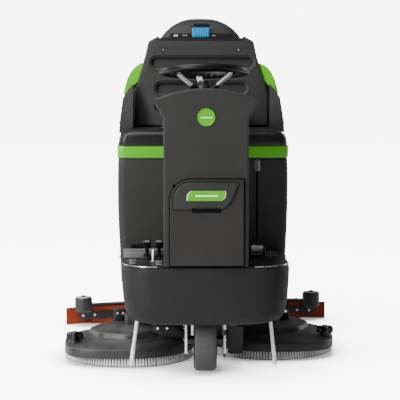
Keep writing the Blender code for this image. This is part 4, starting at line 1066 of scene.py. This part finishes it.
def steering_wheel():
    tilt = Matrix.Translation(WHEEL_CENTRE) @ Matrix.Rotation(-WHEEL_TILT, 4, "X")
    axis = tilt.to_3x3() @ Vector((0, 0, 1))
    loop = [(WHEEL_RADIUS + RIM_RADIUS * cos(a), RIM_RADIUS * sin(a)) for a in around(24)]

    def grips(angle, radius, height):
        """Shallow finger waves on the rim's inner underside."""
        if radius < WHEEL_RADIUS and height < 0:
            return radius + 0.0022 * cos(36 * angle) - 0.0012
        return radius

    dressed("wheel_rim", turned(loop, WHEEL_CENTRE, axis, 216, looped=True, wave=grips), "rim",
        "steering_rim", body="steering_wheel")
    arms, roots = [], []
    for degrees in (-37, 217, 97):
        turn = Matrix.Rotation(radians(degrees), 4, "Z")
        path = smooth_path(mm((60, 0, -61), (80, 0, -49), (128, 0, -19), (144, 0, -10.5)), 6)
        rings = []
        for i, point in enumerate(path):
            along = ((path[i + 1] if i + 1 < len(path) else point) - (path[i - 1] if i
                else point)).normalized()
            up = Vector((-along.z, 0, along.x))
            end = min(1, 0.5 + min(i, len(path) - 1 - i) / 4)
            section = mm((-11.5, 0), (-10.5, 3.6), (-7.8, 4.6), (-6.6, 3), (-5.2, 4.6), (-3.8, 3),
                (-2.4, 4.6), (-0.8, 3), (0.8, 4.6), (2.4, 3), (3.8, 4.6), (5.2, 3), (6.6, 4.6), (7.8, 4.6),
                (10.5, 3.6), (11.5, 0), (9.5, -4.5), (-9.5, -4.5))
            rings.append([tilt @ turn @ (point + Vector((0, v * end, 0)) + up * w * end)
                for v, w in section])
        arms.append(lofted(rings, smooth=25))
        roots.append(swept([tilt @ turn @ Vector(p) for p in mm((20, 0, -76), (44, 0, -69), (68, 0, -58))],
            0.0125, 12))
        roots.append(swept([tilt @ turn @ Vector(p) for p in mm((136, 0, -16), (147, 0, -10),
            (156, 0, -5.5))], 0.0085, 12))
    dressed("wheel_spokes", arms, "spoke_metal", "steering_spokes", body="steering_wheel")
    low = tilt @ Vector((0, 0, -HUB_DROP - 0.016))
    hub = turned(mm((34, 0), (39.5, 3), (40, 20), (36, 30), (26, 36), (24.5, 46), (21.5, 50), (0, 52)), low,
        axis, 48)
    dressed("wheel_hub", roots + [hub], "black_plastic", body="steering_wheel")
    profile = [(0.026, 0.0)]
    for i in range(5):
        profile += [(0.0405 - i * 0.0022, 0.001 + i * 0.0062), (0.033 - i * 0.0022, 0.0042 + i * 0.0062)]
    dressed("column_boot", turned(profile + mm((20, 33), (14.5, 33), (14.5, 0)),
        tilt @ Vector((0, 0, -HUB_DROP - 0.052)), axis, 40, looped=True), "black_plastic")
    keep("steering_shaft", "dark_steel")


def dash_controls():
    dressed("stop_button", turned(mm((9.8, -12), (9.8, 3.5), (19, 5.5), (20, 7), (20, 10), (18, 12.8),
        (12, 14.2), (0, 14.5)), (*STOP_PLACE, 1.079)), "red_plastic", "emergency_stop",
        body="emergency_stop")
    dressed("stop_collar", turned(mm((12.5, -10), (23.5, -10), (23.5, -3.5), (21.5, -1.5), (12.5, -1.5)),
        (*STOP_PLACE, 1.079), steps=40, looped=True), "green_plastic")
    barrel = turned(mm((10, 0), (10, 8.5), (9, 9.8), (0, 9.8)), (*KEY_PLACE, 1.077), steps=32)
    bow = softened(block((-0.1065, -0.44, 1.08), (-0.1035, -0.42, 1.0925)), 0.0008, 2)
    dressed("ignition_key", [barrel, bow], "bare_steel", "key_switch", body="key_switch")
    dressed("key_surround", turned(mm((10.4, -6), (16.5, -6), (16.5, 1.5), (15, 3), (10.4, 3)),
        (*KEY_PLACE, 1.077), steps=32, looped=True), "gloss")


def lift_lever():
    x, y, z = 0.213, -0.4, 0.462
    stem = rod((x, y, 0.466), (x, y, 0.782), 0.005, sides=20)
    boss = turned(mm((9, -23.5), (13.5, -23.5), (15, -22), (15, 22), (13.5, 23.5), (0, 23.5)), (x, y, z),
        (1, 0, 0), 32)
    dressed("lever_stem", [stem], "seam_and_shade", "lift_lever", body="lift_lever", slot="painted_steel")
    dressed("lever_boss", [boss], "spoke_metal", body="lift_lever", slot="painted_steel")
    profile = [(0.006, 0.776), (0.0098, 0.778)]
    for i in range(2):
        profile += [(0.0112, 0.784 + i * 0.011), (0.0112, 0.79 + i * 0.011), (0.0101, 0.7925 + i * 0.011)]
    profile += mm((10.8, 806), (10.4, 815), (7.5, 820.8), (0, 822))
    dressed("lever_grip", turned([(r, h - z) for r, h in profile], (x, y, z), steps=28), "grey_trim",
        body="lift_lever", slot="black_plastic")
    cheek = [block((x + s * 0.0295 - 0.0035, y - 0.02, 0.433), (x + s * 0.0295 + 0.0035, y + 0.02, 0.472),
        0.003) for s in (-1, 1)]
    cheek.append(block((x - 0.034, y - 0.024, 0.4325), (x + 0.034, y + 0.024, 0.437), 0.001))
    dressed("lever_bracket", cheek, "black_plastic", slot="painted_steel")


# ---------------------------------------------------------------- wheels and drive

def tyre_piece(name, centre, radius, width, rim, body, node, grooves=()):
    """A tyre across its axle. Each groove is given as a share of the half width."""
    half = width / 2
    profile = [(rim, -half * 0.86), (radius * 0.86, -half * 0.97), (radius * 0.92, -half)]
    for a in (0, 20, 40, 60, 80):
        r = radians(a)
        profile.append((radius - 0.016 + 0.016 * sin(r), -half + 0.0005 + 0.013 * (1 - cos(r))))
    for g in grooves:
        middle = g * half
        profile += [(radius, middle - 0.003), (radius - 0.0028, middle - 0.0018),
            (radius - 0.0028, middle + 0.0018), (radius, middle + 0.003)]
    for a in (80, 60, 40, 20, 0):
        r = radians(a)
        profile.append((radius - 0.016 + 0.016 * sin(r), half - 0.0005 - 0.013 * (1 - cos(r))))
    profile += [(radius * 0.92, half), (radius * 0.86, half * 0.97), (rim, half * 0.86)]
    dressed(name, turned(profile, centre, (1, 0, 0), 120, looped=True), "tyre_rubber", node, body=body)


def wheels():
    drive = Vector((0, DRIVE_Y, DRIVE_RADIUS))
    tyre_piece("drive_tyre", drive, DRIVE_RADIUS, 0.088, 0.074, "drive_wheel", "front_tyre")
    keep("front_hub", "dark_steel")
    studs = [((s * 0.03, drive.y + 0.052 * cos(a), drive.z + 0.052 * sin(a)), (s, 0, 0)) for s in (-1, 1)
        for a in around(6)]
    bolts("drive_wheel_bolts", studs, 0.0065, "drive_wheel")
    for side, s in SIDES.items():
        centre = Vector((s * REAR_X, REAR_Y, REAR_RADIUS))
        tyre_piece("tyre_" + side, centre, REAR_RADIUS, 0.072, 0.0854, "rear_wheel_" + side,
            "rear_tyre_" + side, (-0.4, 0.0, 0.4))
        keep("rear_hub_" + side)
        studs = [((s * (REAR_X + 0.018), centre.y + 0.054 * cos(a), centre.z + 0.054 * sin(a)), (s, 0, 0))
            for a in around(5)]
        bolts("rear_wheel_bolts_" + side, studs, 0.007, "rear_wheel_" + side)
        nut = turned(mm((13.2, 0), (17.5, 0), (18, 3), (13.5, 5)), (s * 0.3135, REAR_Y, REAR_RADIUS),
            (s, 0, 0), 6, smooth=20)
        dressed("axle_nut_" + side, [nut], "bare_steel")


def drive_unit():
    """The fork keeps its shape; edge strips, bolts and an adjuster are added to it."""
    keep("steering_fork")
    keep("steering_head")
    keep("drive_motor")
    y = DRIVE_Y
    front = y - 0.06
    strips = []
    for s in (-1, 1):
        low, high = sorted((s * 0.0712, s * 0.0798))
        runs = [(0.078, 0.262)] if s < 0 else [(0.078, 0.15), (0.172, 0.262)]
        strips += [block((low, front - 0.0022, a), (high, front + 0.0004, b), 0.0008) for a, b in runs]
    dressed("fork_strips", strips, "rod_white", body="drive_fork")
    places = [((s * 0.0798, y + dy, z), (s, 0, 0)) for s in (-1, 1) for dy in (-0.035, 0.035)
        for z in (0.225, 0.175)]
    places += [((s * 0.0798, y, 0.122), (s, 0, 0)) for s in (-1, 1)]
    bolts("fork_bolts", places, 0.0068, "drive_fork")
    body = turned(mm((0, 0), (11, 0), (11, 6), (16.5, 6), (16.5, 10), (10.5, 11), (10, 40), (12, 42),
        (12, 52), (0, 54)), (0.08, front + 0.03, 0.238), (1, 0, 0), 28)
    dressed("fork_adjuster", [body], "rod_white", body="drive_fork")
    dressed("fork_switch", block((0.0802, front + 0.016, 0.196), (0.106, front + 0.05, 0.2225), 0.003),
        "black_plastic", body="drive_fork")
    fins = [turned(mm((59, -1.2), (62.5, -0.8), (62.5, 0.8), (59, 1.2)), (0, y, 0.43 - 0.012 * i),
        looped=True) for i in range(2, 7)]
    dressed("motor_fins", fins, "painted_steel", body="drive_fork")


def link_bracket():
    """A dark bracket that stands on the left deck beside the drive wheel."""
    y = -0.35
    plates = [block((-0.205, y - 0.003, 0.08), (-0.052, y + 0.003, 0.1475), 0.0015),
        block((-0.205, y - 0.003, 0.144), (-0.052, y + 0.026, 0.148), 0.0015)]
    dressed("link_bracket", plates, "black_plastic", body="brush_deck_left", slot="painted_steel")
    places = [((x, y - 0.003, 0.131), (0, -1, 0)) for x in (-0.188, -0.15, -0.076)]
    bolts("link_bracket_bolts", places, 0.0055, "brush_deck_left")


def feed_rods():
    ends = {"left": ((-0.264, -0.555, 0.224), (-0.292, -0.57, 0.024)),
        "right": ((0.258, -0.49, 0.224), (0.2805, -0.5, 0.01))}
    for side, (top, low) in ends.items():
        top, low = Vector(top), Vector(low)
        along = low - top
        length = along.length
        profile = [(0.0, 0.0), (0.0068, 0.0), (0.007, length * 0.6), (0.0082, length * 0.72),
            (0.0084, length * 0.97), (0.006, length), (0.0, length)]
        dressed("feed_rod_" + side, turned(profile, top, along, 24), "rod_white", "solution_tube_" + side)


# ---------------------------------------------------------------- brush decks

DECK_RADIUS = 0.266
BRUSH_CENTRES = {"left": Vector((-0.305, -0.24, 0)), "right": Vector((0.281, -0.11, 0))}
KNOB_PLACES = {"left": Vector((-0.524, -0.37, 0)), "right": Vector((0.505, -0.25, 0))}
MOTOR_PLACES = {"left": Vector((-0.262, -0.147, 0)), "right": Vector((0.258, -0.11, 0))}


def deck_outline(side, scale):
    """A circle whose front outer corner is squared."""
    s = SIDES[side]
    centre = BRUSH_CENTRES[side]
    points = []
    for angle in around(112):
        x, y = cos(angle), sin(angle)
        power = 2.0 if y >= 0 or x * s <= 0 else 2.0 + 1.6 * sin(2 * atan2(-y, x * s))
        radius = DECK_RADIUS * scale / (abs(x) ** power + abs(y) ** power) ** (1 / power)
        points.append((centre.x + radius * x, centre.y + radius * y))
    return points


def octagon(angle):
    """How far an octagon with eased corners reaches at an angle, as a share of its corner's reach."""
    off = (angle + pi / 8) % (pi / 4) - pi / 8
    return min(cos(pi / 8) / cos(pi / 8 - abs(off)), 0.965)


def brush_deck(side):
    s = SIDES[side]
    centre = BRUSH_CENTRES[side]
    body = "brush_deck_" + side
    inner = [(0.0745, 0.962), (0.0375, 0.966)]
    outer = [(0.0362, 0.97), (0.036, 0.996), (0.0372, 1.0), (0.05, 0.999), (0.068, 0.996), (0.0705, 0.992),
        (0.0722, 0.985), (0.0732, 0.974), (0.0765, 0.92), (0.0815, 0.84), (0.086, 0.77), (0.089, 0.73),
        (0.0935, 0.7), (0.096, 0.68), (0.096, 0.3)]
    rings = [[(x, y, z) for x, y in deck_outline(side, scale)] for z, scale in inner + outer]
    skirt = lofted(rings, smooth=30)
    stage = turned(mm((180, -4), (176.5, 0.5), (173.5, 4), (170, 18), (167.5, 22.5), (163, 25), (155, 25.8),
        (0, 25.8)), (*centre.xy, 0.0905), steps=96, smooth=35, wave=lambda a, radius, h: radius * octagon(a)
        + 1e-06)
    place = KNOB_PLACES[side]
    boss = turned(mm((23.5, 0), (21.5, 10), (21, 14.5), (0, 14.5)), (*place.xy, 0.078), steps=32)
    dressed("deck_shell_" + side, joined([skirt, stage, boss]), "deck", "deck_" + side, body=body)
    heads = []
    for degrees in (20, 75, 130, 185, 250, 310):
        a = radians(degrees)
        heads.append(((centre.x - s * 0.134 * cos(a), centre.y + 0.134 * sin(a), 0.1138), (0, 0, 1)))
    bolts("deck_bolts_" + side, heads, 0.0052, body, look="painted_steel")
    knob(side)
    linkage(side)


def knob(side):
    place = KNOB_PLACES[side]
    profile = mm((12, 0), (32, 1), (32.5, 6), (32, 18), (30, 24), (24.5, 28.5), (12, 30), (8.5, 27),
        (0, 27))

    def lobes(angle, radius, height):
        return radius * (1 + 0.28 * cos(4 * angle)) / 1.2 + 1e-06 if radius > 0.02 else radius + 1e-06

    dressed("knob_grip_" + side, turned(profile, (*place.xy, 0.093), steps=96, wave=lobes), "black_plastic",
        "deck_knob_" + side, body="brush_deck_" + side)
    dressed("knob_centre_" + side, turned(mm((10.5, 0), (11, 2), (8, 4.2), (0, 4.6)), (*place.xy, 0.1205),
        steps=32), "bare_steel", body="brush_deck_" + side)


def linkage(side):
    """Lift bracket, spring and clamps behind the motor, and the motor's own fins and cable gland."""
    s = SIDES[side]
    body = "brush_deck_" + side
    motor = MOTOR_PLACES[side]
    keep("brush_motor_" + side)
    fins = [turned(mm((47, -1), (50, -0.7), (50, 0.7), (47, 1)), (*motor.xy, 0.1165 + 0.05 + 0.009 * i),
        looped=True) for i in range(9)]
    gland = turned(mm((11, 0), (11, 8), (8.5, 10), (8.5, 18), (0, 18)), (motor.x, motor.y - 0.044, 0.226),
        (0, -1, 0), 6, smooth=20)
    dressed("motor_fins_" + side, fins + [gland], "painted_steel", body=body)
    base = Vector((motor.x + s * 0.085, motor.y + 0.055, 0.1145))
    plates = [block((base.x - 0.026, base.y + dy - 0.0025, base.z - 0.001),
        (base.x + 0.026, base.y + dy + 0.0025, base.z + 0.052), 0.002) for dy in (-0.016, 0.016)]
    plates.append(block((base.x - 0.034, base.y - 0.028, base.z - 0.002),
        (base.x + 0.034, base.y + 0.028, base.z + 0.004), 0.0015))
    dressed("lift_bracket_" + side, plates, "painted_steel", body=body)
    pins = [rod((base.x + dx, base.y - 0.024, base.z + 0.038), (base.x + dx, base.y + 0.024,
        base.z + 0.038), 0.0055) for dx in (-0.012, 0.012)]
    dressed("lift_pins_" + side, pins, "bare_steel", body=body)
    turns = 7
    coil = [(base.x - s * 0.06 + 0.0105 * cos(a), base.y - 0.075 + 0.0105 * sin(a),
        base.z + 0.004 + 0.045 * i / (turns * 14)) for i, a in enumerate([2 * pi * k / 14
        for k in range(turns * 14 + 1)])]
    dressed("deck_spring_" + side, swept(coil, 0.0019, 8), "bare_steel", body=body)
    dressed("spring_post_" + side, turned(mm((6.5, 0), (6.5, 50), (12.5, 50), (14, 54), (14, 64), (11, 69),
        (0, 70)), (base.x - s * 0.06, base.y - 0.075, base.z), steps=28), "black_plastic", body=body)


def brush(side):
    """The block, and bristle tufts that splay out from it in rings."""
    centre = BRUSH_CENTRES[side]
    dressed("brush_block_" + side, turned(mm((0, 52), (243, 50), (245, 54), (245, 66), (242, 71.5),
        (60, 71.8), (26, 74), (26, 110), (0, 110)), centre, steps=96), "black_plastic",
        body="brush_" + side)
    # A thin near-black ring under the bristle tips: painted shadow along their lower ends.
    dressed("brush_foot_" + side, turned([(0.2622 + 0.0014 * cos(a), 0.0034 + 0.0014 * sin(a))
        for a in around(8)], centre, steps=128, looped=True), "seam_and_shade", body="brush_" + side, slot="bristle")
    tufts("bristles_" + side, centre, side, ((132, 0.244, 0.261),), "bristle", "brush_" + side)
    # The inner rings are darker than the outer ring: painted shade under the brush block.
    tufts("inner_bristles_" + side, centre, side, ((120, 0.226, 0.246), (108, 0.206, 0.224),
        (96, 0.188, 0.202)), "bristle_painted_shade")


def tufts(name, centre, side, rings, look, *node):
    """Rings of bristle tufts, each given by how many tufts it has and how far out they start and end."""
    shape = bmesh.new()
    for row, (count, root, tip) in enumerate(rings):
        for i in range(count):
            angle = 2 * pi * (i + 0.5 * (row % 2)) / count
            stray = noise.noise(Vector((i * 0.71, row * 3.3, SIDES[side])))
            out = Vector((cos(angle), sin(angle), 0))
            across = Vector((-out.y, out.x, 0))
            upper = centre + out * root + Vector((0, 0, 0.053))
            lower = (centre + out * (tip - 0.0012 + 0.001 * stray) + across * 0.0022 * stray
                + Vector((0, 0, 0.0018)))
            loops = []
            for point, wide in ((upper, 0.003), (upper.lerp(lower, 0.5) + out * 0.0015, 0.004),
                    (lower, 0.0052)):
                loops.append([shape.verts.new(point + across * wide * cos(a) + out * wide * 0.75 * sin(a))
                    for a in around(6)])
            for a, b in zip(loops, loops[1:]):
                for k in range(6):
                    shape.faces.new((a[k], b[k], b[(k + 1) % 6], a[(k + 1) % 6]))
            shape.faces.new(loops[0])
            shape.faces.new(loops[-1][::-1])
    dressed(name, from_shape(shape, weld=1e-07), look, *node, body="brush_" + side, slot="bristle")


def splash_flap():
    flap = pillowed(rounded(0.099, 0.16, 0.027, 0.14, (0.008, 0.003, 0.003, 0.008)), -0.362, -0.3585, 0.001)
    hanger = block((0.108, -0.359, 0.0975), (0.152, -0.32, 0.1015), 0.001)
    dressed("splash_guard", [flap, hanger], "deck", body="brush_deck_right")


# ---------------------------------------------------------------- squeegee

ROLLER_X = 0.53
YAW = (Matrix.Translation(SQUEEGEE_PIVOT) @ Matrix.Rotation(SQUEEGEE_YAW, 4, "Z")
    @ Matrix.Translation(-SQUEEGEE_PIVOT))


def bowed(x, depth):
    return 0.605 + depth - 0.22 * x * x


def strip(name, half, front, back, low, high, edge, look, slot, *node):
    """A strip that follows the squeegee's curve, with its upper corners eased."""
    steps = 48
    rings = []
    for i in range(steps + 1):
        x = -half + 2 * half * i / steps
        section = [(front, low), (back, low), (back, high - edge), (back - edge, high),
            (front + edge, high), (front, high - edge)]
        rings.append([(x, bowed(x, y), z) for y, z in section])
    dressed(name, moved(lofted(rings), YAW), look, *node, body="squeegee", slot=slot)


def squeegee():
    keep("squeegee_channel")
    keep("squeegee_arm")
    strip("wiper_front", 0.49, -0.0125, -0.0085, 0.0015, 0.0788, 0.0008, "gum_rubber", "gum_rubber",
        "blade_front")
    strip("wiper_rear", 0.607, 0.0085, 0.0125, 0.0015, 0.0788, 0.0008, "gum_rubber", "gum_rubber",
        "blade_rear")
    strip("strap_front", 0.545, -0.016, -0.0128, 0.024, 0.06, 0.0004, "painted_steel", "painted_steel")
    strip("strap_rear", 0.6, 0.0128, 0.015, 0.018, 0.05, 0.0004, "painted_steel", "painted_steel")
    places = []
    for x in (-0.53, -0.475, -0.365, -0.25, -0.12, 0.0, 0.12, 0.25, 0.365, 0.475, 0.53):
        place = YAW @ Vector((x, bowed(x, -0.016), 0.042))
        places.append((place, YAW.to_3x3() @ Vector((-0.44 * x, -1, 0))))
    for x in [-0.57 + 0.114 * i for i in range(11)]:
        place = YAW @ Vector((x, bowed(x, 0.015), 0.034))
        places.append((place, YAW.to_3x3() @ Vector((0.44 * x, 1, 0))))
    bolts("strap_bolts", places, 0.0055, "squeegee")
    tops = [(YAW @ Vector((x, bowed(x, 0.03), 0.088)), (0, 0, 1)) for x in (-0.48, -0.36, -0.24, -0.12,
        0.12, 0.24, 0.36, 0.48)]
    bolts("flange_bolts", tops, 0.006, "squeegee")
    nozzle = turned(mm((18, 0), (23.5, 0), (24, 4), (22.8, 6), (22.8, 50), (23.6, 52), (22.8, 56),
        (23.6, 60), (22.6, 66), (22, 71.9), (18, 71.9)), (0, 0.622, 0.0885), looped=True)
    moved(nozzle, YAW)
    dressed("nozzle_ring", nozzle, "black_plastic", "suction_nozzle", body="squeegee")
    for side, s in SIDES.items():
        place = YAW @ Vector((s * ROLLER_X, bowed(ROLLER_X, -0.055), 0.0685))
        dressed("roller_wheel_" + side, turned(mm((0, 0), (34, 0), (37.5, 1.5), (39.2, 4.5), (39.5, 10),
            (39.5, 56), (39.2, 61), (37.5, 64.5), (34, 66), (20, 66), (18, 63), (11.5, 63), (10.5, 66),
            (10, 69), (0, 69)), place, steps=64), "deck", "roller_" + side, body="roller_" + side)
        dressed("roller_cap_" + side, turned(mm((11.5, 0), (33.5, 0), (33.5, 1.6), (32.5, 2.2),
            (11.5, 2.2)), place + Vector((0, 0, 0.0656)), looped=True), "spoke_metal",
            body="roller_" + side)
        bolts("roller_bolt_" + side, [(place + Vector((0, 0, 0.069)), (0, 0, 1))], 0.0085, "roller_" + side,
            look="dark_steel")


# ---------------------------------------------------------------- camera, light and floor

def stage_and_light():
    shape = bmesh.new()
    bmesh.ops.create_grid(shape, x_segments=12, y_segments=12, size=14)
    ground = from_shape(shape)
    ground.name = "floor"
    pale = surface("pale_floor", (0.8, 0.8, 0.8), 0.7, mottle=0.004, gloss=0.1)
    # The floor glows, brightly for camera rays and faintly for other rays; ambient occlusion dims the camera
    # glow near the machine into a painted contact shadow.
    pale.node_tree.nodes["Principled BSDF"].inputs["Emission Color"].default_value = (1, 1, 1, 1)
    nodes, links = pale.node_tree.nodes, pale.node_tree.links
    seen = nodes.new("ShaderNodeLightPath")
    corners = nodes.new("ShaderNodeAmbientOcclusion")
    corners.inputs["Distance"].default_value = 0.35
    shade = nodes.new("ShaderNodeMapRange")
    shade.inputs["From Min"].default_value = 0.45
    shade.inputs["To Min"].default_value = 0.3
    shade.inputs["To Max"].default_value = 7.5
    links.new(corners.outputs["AO"], shade.inputs["Value"])
    glow = nodes.new("ShaderNodeMapRange")
    glow.inputs["To Min"].default_value = 0.4
    links.new(seen.outputs["Is Camera Ray"], glow.inputs["Value"])
    links.new(shade.outputs["Result"], glow.inputs["To Max"])
    links.new(glow.outputs["Result"], nodes["Principled BSDF"].inputs["Emission Strength"])
    ground.data.materials.append(pale)
    world = bpy.data.worlds.new("studio")
    bpy.context.scene.world = world
    world.use_nodes = True
    tree = world.node_tree
    back = tree.nodes["Background"]
    back.inputs["Color"].default_value = (1, 1, 1, 1)
    rays = tree.nodes.new("ShaderNodeLightPath")
    strength = tree.nodes.new("ShaderNodeMapRange")
    strength.inputs["To Min"].default_value = 0.22
    strength.inputs["To Max"].default_value = 7.5
    tree.links.new(rays.outputs["Is Camera Ray"], strength.inputs["Value"])
    tree.links.new(strength.outputs["Result"], back.inputs["Strength"])

    def area(name, place, target, size, power):
        lamp = bpy.data.lights.new(name, "AREA")
        lamp.shape = "RECTANGLE"
        lamp.size, lamp.size_y = size
        lamp.energy = power
        made = bpy.data.objects.new(name, lamp)
        bpy.context.scene.collection.objects.link(made)
        made.location = place
        made.rotation_euler = (Vector(target) - Vector(place)).to_track_quat("-Z", "Y").to_euler()

    area("key", (-3.6, -3.8, 2.4), (0, 0, 0.6), (1.6, 2.2), 460)
    area("top", (-1.6, -0.9, 4.2), (0, 0, 0.6), (2.6, 2.6), 300)
    area("left_rim", (-3.2, 1.6, 1.6), (0, 0.2, 0.8), (0.8, 2.4), 70)
    area("right_rim", (3.2, 1.8, 1.6), (0, 0.2, 0.8), (0.8, 2.4), 50)


def camera():
    lens = bpy.data.cameras.new("camera")
    lens.lens = 138.78
    lens.sensor_width = 36
    view = bpy.data.objects.new("camera", lens)
    bpy.context.scene.collection.objects.link(view)
    turn, down = radians(-1.2307), radians(5.66207)
    back = Vector((sin(turn) * cos(down), -cos(turn) * cos(down), sin(down)))
    right = (-back).cross(Vector((0, 0, 1))).normalized()
    up = right.cross(-back)
    view.matrix_world = (Matrix.Translation((-0.1486, -6.5482, 1.27))
        @ Matrix((right, up, back)).transposed().to_4x4())
    bpy.context.scene.camera = view


def build():
    casing()
    badge()
    storage_door()
    door_handle()
    nose()
    footwell()
    pedals()
    battery_box()
    belt()
    deck()
    cushion()
    backrest()
    upper_tank()
    lower_tank()
    lid()
    catch()
    steering_wheel()
    dash_controls()
    lift_lever()
    wheels()
    drive_unit()
    link_bracket()
    feed_rods()
    splash_flap()
    squeegee()
    for side in SIDES:
        wing(side)
        shoulder(side)
        brush_deck(side)
        brush(side)
    for name in ("chassis_frame", "rear_axle", "storage_bin", "battery_front", "battery_rear",
            "vacuum_motor", "controller_box"):
        keep(name)
    camera()
    stage_and_light()


build()
